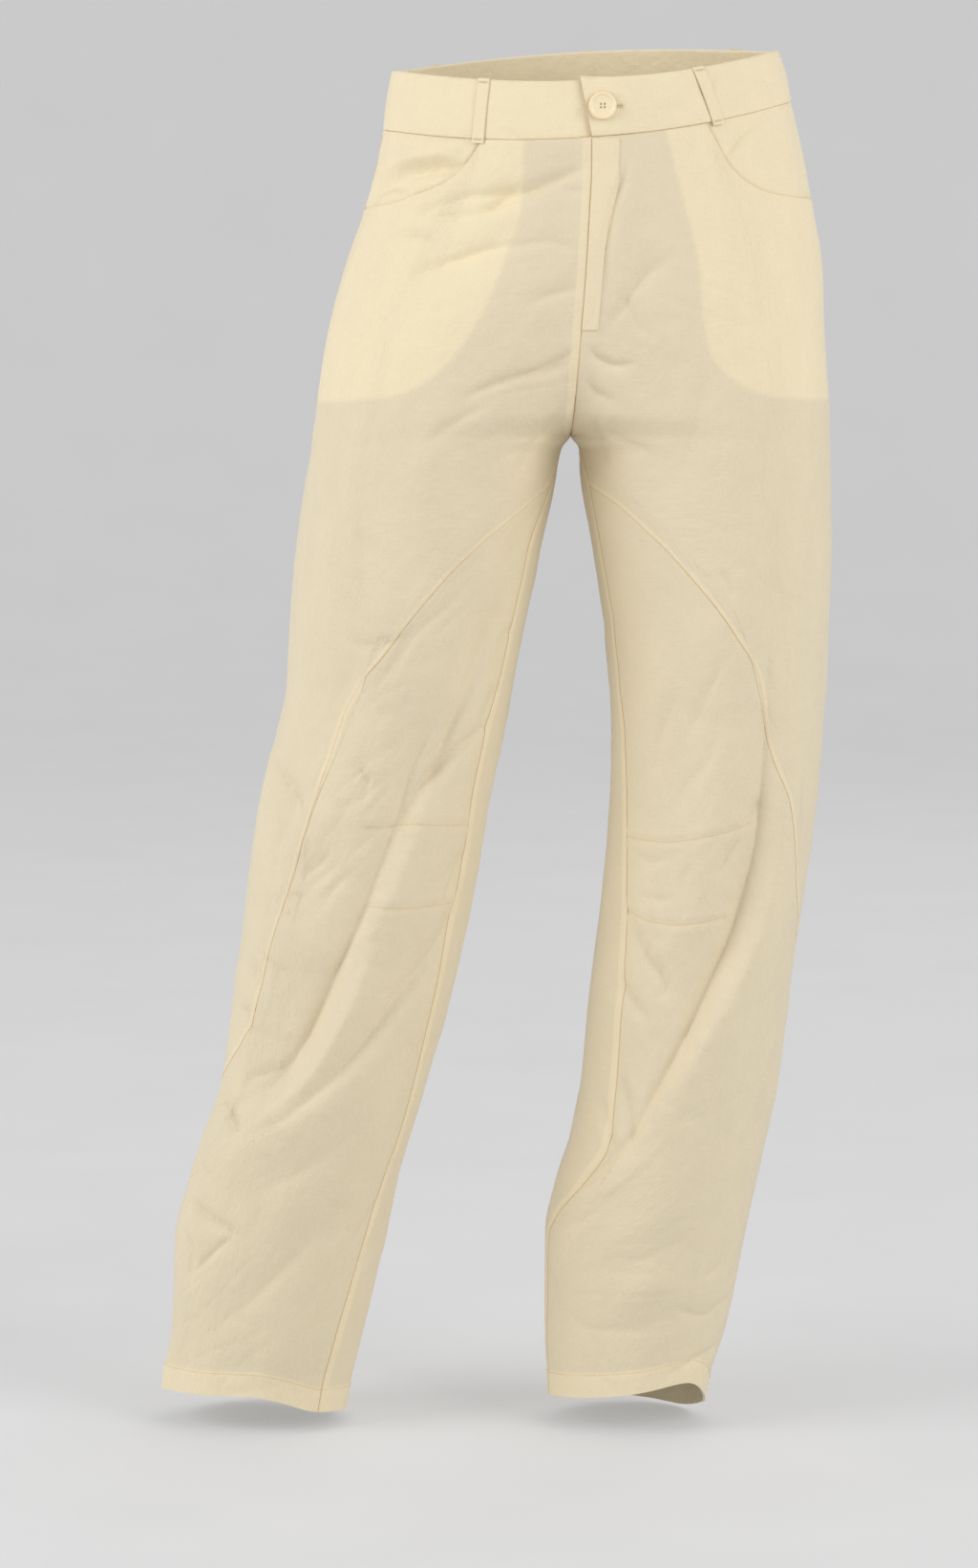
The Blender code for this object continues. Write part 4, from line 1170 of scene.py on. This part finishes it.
BUTTON_X, BUTTON_Z = 11.0, -38.0
BUTTON_OFF_BAND = 1.1
BUTTON_PROFILE = [
    # radius, height
    (8.8, 0.0), (9.8, 0.35), (10.4, 1.0), (10.5, 1.6), (10.4, 2.3), (10.0, 2.85), (9.4, 3.1), (8.8, 3.05),
    (8.3, 2.75), (7.9, 2.35), (7.2, 2.1), (5.0, 2.0), (2.5, 1.95),
]
HOLE_REACH = 1.75
HOLE_RADIUS = 0.85
HOLE_ENDS = (-1.0, 4.0)
THREAD_GAP = 0.28
SLIT_START, SLIT_END, SLIT_DEPTH = 2.0, 14.4, 0.75


def circle(count, radius, height, x=0.0, y=0.0):
    turns = np.linspace(0, 2 * np.pi, count, endpoint=False)
    return [(x + radius * math.cos(a), y + radius * math.sin(a), height) for a in turns]


def button_axes():
    """Middle of the button on the lapping end, and its right, up and outward directions."""
    place, z = np.array([float(around_at("left", BUTTON_X, BUTTON_Z))]), np.array([BUTTON_Z])
    normal = outward("left", place, z)[0]
    right = unit(np.cross([0, 0, 1.0], normal))
    centre = body("left", place, z)[0] + normal * (BAND_PROUD + BUTTON_OFF_BAND)
    return centre, right, np.cross(normal, right), normal


def bare_object(name, points, faces):
    mesh = bpy.data.meshes.new(name)
    mesh.from_pydata(np.asarray(points, float) * MM, [], faces)
    return put_in_scene(name, mesh)


def drilled(blank, drill):
    """The mesh of a blank less a drill, which is removed."""
    cut = blank.modifiers.new("hole", "BOOLEAN")
    cut.object, cut.operation = drill, "DIFFERENCE"
    bpy.context.view_layer.update()
    mesh = bpy.data.meshes.new_from_object(blank.evaluated_get(bpy.context.evaluated_depsgraph_get()))
    blank.modifiers.clear()
    bpy.data.objects.remove(drill, do_unlink=True)
    return mesh


def make_button():
    """A turned button with a rim, a dished middle and four holes, and the thread through them."""
    centre, right, up, normal = button_axes()
    blank = bare_object("button_blank", *tube([circle(64, *ring) for ring in BUTTON_PROFILE]))
    for k in range(4):
        x, y = (HOLE_REACH * f(math.pi / 4 + k * math.pi / 2) for f in (math.cos, math.sin))
        drill = bare_object("drill", *tube([circle(20, HOLE_RADIUS, h, x, y) for h in HOLE_ENDS]))
        blank.data = drilled(blank, drill)
    flat = np.empty(len(blank.data.vertices) * 3)
    blank.data.vertices.foreach_get("co", flat)
    faces = [list(face.vertices) for face in blank.data.polygons]
    bpy.data.objects.remove(blank, do_unlink=True)
    points = (flat.reshape(-1, 3) / MM) @ np.array([right, up, normal]) + centre
    piece("button_disc", points, faces, BUTTON_LOOK, "button", ["button"], sharp=40)
    rows = np.array([(sign, k) for sign in (1, -1) for k in (-1, 0, 1)], float)
    middles = centre + up * (HOLE_REACH * 0.707 * rows[:, :1] + THREAD_GAP * rows[:, 1:]) + normal * 1.8
    ones = np.ones((len(rows), 1))
    stitches("button_thread", middles, right * ones, normal * ones, 3.0, 0.22)
    spokes = np.array(circle(12, 1.5, 0)) @ np.array([right, up, normal])
    rings = [centre + normal * h + spokes for h in (-1.2, 0.6)]
    piece("button_shank", *tube(rings), THREAD_LOOK, "cloth_double")


def make_buttonhole():
    """Satin stitches round a slit that runs from under the button toward the left side, and in the slit a
    thin dark sheet: painted shade for the gap between the stitches.
    """
    centre, right, up, normal = button_axes()
    centre = centre - normal * SLIT_DEPTH
    x = np.linspace(SLIT_START, SLIT_START + 12.0, 34)[:, None]
    turns = np.linspace(-np.pi / 2, np.pi / 2, 9)[:, None]
    fan = right * np.cos(turns) + up * np.sin(turns)
    sides = [centre + right * x + up * 0.85 * sign for sign in (1, -1)]
    middles = np.concatenate([*sides, centre + right * SLIT_END + fan])
    ways = np.concatenate([np.repeat(up[None], 2 * len(x), 0), fan])
    stitches("buttonhole_stitches", middles, ways, np.repeat(normal[None], len(ways), 0), 1.5, 0.2)
    # The slit's sheet is painted shade: a dark strip that stands for the shadowed gap between the stitch
    # rows.
    ring = [(SLIT_START, 0.3), (SLIT_END, 0.3), (SLIT_END + 0.5, 0.0), (SLIT_END, -0.3), (SLIT_START, -0.3)]
    rings = [[centre + right * a + up * b + normal * h for a, b in ring] for h in (-0.45, 0.05)]
    piece("buttonhole_slit_shade", *tube(rings), SLIT_SHADE_LOOK, "cloth_double")


HEM_PITCH, HEM_STITCH = 3.2, 2.5
HEM_STITCH_OUT, HEM_STITCH_DOWN = 0.62, 1.8


def make_hem_stitches(side):
    """A row of stitches round the top of the hem."""
    places = np.linspace(0, 1, 2400)
    z = hem_line(side, places) + HEM_DEPTH - HEM_STITCH_DOWN
    base = body(side, places, z)
    normal = outward(side, places, z)
    rise = fold_relief(side, base, normal) + crumple(side, places, z, base)
    path = base + normal * (rise + HEM_STITCH_OUT)[:, None]
    length = np.concatenate([[0], np.cumsum(np.linalg.norm(np.diff(path, axis=0), axis=1))])
    starts = np.arange(0, length[-1] - HEM_PITCH, HEM_PITCH)

    def at(where, rows):
        return np.stack([np.interp(where, length, rows[:, k]) for k in range(3)], -1)

    gap = (HEM_PITCH - HEM_STITCH) / 2
    first, last = at(starts + gap, path), at(starts + HEM_PITCH - gap, path)
    out = at(starts + HEM_PITCH / 2, normal)
    stitches(f"hem_stitches_{side}", (first + last) / 2, last - first, out, HEM_STITCH, 0.24)


for leg in ("right", "left"):
    make_panels(leg)
    make_pocket(leg)
    make_hem_stitches(leg)
make_placket()
make_waistband()
for loop in LOOPS:
    make_loop(*loop)
make_button()
make_buttonhole()

# ---------- Floor, light and camera ----------

FLOOR_Z = -1.0705
FLOOR_REACH = 5.0
WALL_RADIUS = 2.2
WALL_TOP = 3.2
PAPER_GLOW = 0.33
AROUND_STAGE = 96


def make_stage():
    """A round floor that sweeps up into a wall all round: a run outward, a quarter circle and a run
    up, turned about z. The paper glows a little, so that it stays pale on all sides."""
    lift = np.linspace(0, math.pi / 2, 24)
    sweep = FLOOR_REACH + WALL_RADIUS * np.sin(lift)
    reach = np.concatenate([[0.02, 1.0, 2.5], sweep, sweep[-1:]])
    height = FLOOR_Z + np.concatenate([[0, 0, 0], WALL_RADIUS * (1 - np.cos(lift)), [WALL_TOP]])
    turns = np.linspace(0, 2 * math.pi, AROUND_STAGE, endpoint=False)[:, None]
    points = np.stack([np.cos(turns) * reach, np.sin(turns) * reach, height + 0 * turns], -1).reshape(-1, 3)
    index = np.arange(len(points)).reshape(AROUND_STAGE, -1)
    ahead = np.roll(index, -1, axis=0)
    quads = np.stack([index[:, :-1], index[:, 1:], ahead[:, 1:], ahead[:, :-1]], -1).reshape(-1, 4)
    mesh = bpy.data.meshes.new("studio_sweep")
    mesh.from_pydata(points, [], [list(quad) for quad in quads] + [list(index[:, 0])])
    mesh.shade_smooth()
    paper = plain_look("studio_paper", PAPER_COLOUR, 0.9, 6, 0.0)
    shader = paper.node_tree.nodes["Principled BSDF"]
    shader.inputs["Emission Color"].default_value = (1, 1, 1, 1)
    shader.inputs["Emission Strength"].default_value = PAPER_GLOW
    mesh.materials.append(paper)
    put_in_scene("studio_sweep", mesh)


LIGHTS = [
    # name, place, what it aims at, width and height, watts
    ("right", (2.72, -2.28, 1.1), (0, 0, -0.45), (2.2, 2.6), 67),
    ("left", (-3.3, -1.33, 1.1), (0, 0, -0.45), (2.2, 2.6), 78),
    ("back", (1.2, 3.4, 1.6), (0, 0, -0.5), (2.2, 2.2), 14),
]
WORLD_STRENGTH = 0.52


def make_light(name, place, aim, size, watts):
    light = bpy.data.lights.new(name, "AREA")
    light.shape = "RECTANGLE"
    light.size, light.size_y = size
    light.energy = watts
    made = put_in_scene(name, light)
    made.location = place
    made.rotation_euler = (Vector(aim) - Vector(place)).to_track_quat("-Z", "Y").to_euler()


def make_world():
    world = bpy.data.worlds.new("studio")
    world.use_nodes = True
    background = world.node_tree.nodes["Background"]
    background.inputs["Color"].default_value = (1, 1, 1, 1)
    background.inputs["Strength"].default_value = WORLD_STRENGTH
    bpy.context.scene.world = world
    bpy.context.scene.view_settings.view_transform = "Standard"


CAMERA_PLACE = (-0.0745, -4.0, -0.12)
CAMERA_PITCH = -6.3226      # degrees, looking a little down
LENS = 117.787              # on a 36 mm long side
SENSOR = 36.0


def make_camera():
    camera = bpy.data.cameras.new("camera")
    camera.sensor_width = SENSOR
    camera.lens = LENS
    camera.clip_end = 30
    made = put_in_scene("camera", camera)
    made.location = CAMERA_PLACE
    made.rotation_euler = (math.radians(90 + CAMERA_PITCH), 0, 0)
    bpy.context.scene.camera = made


make_stage()
for lamp in LIGHTS:
    make_light(*lamp)
make_world()
make_camera()
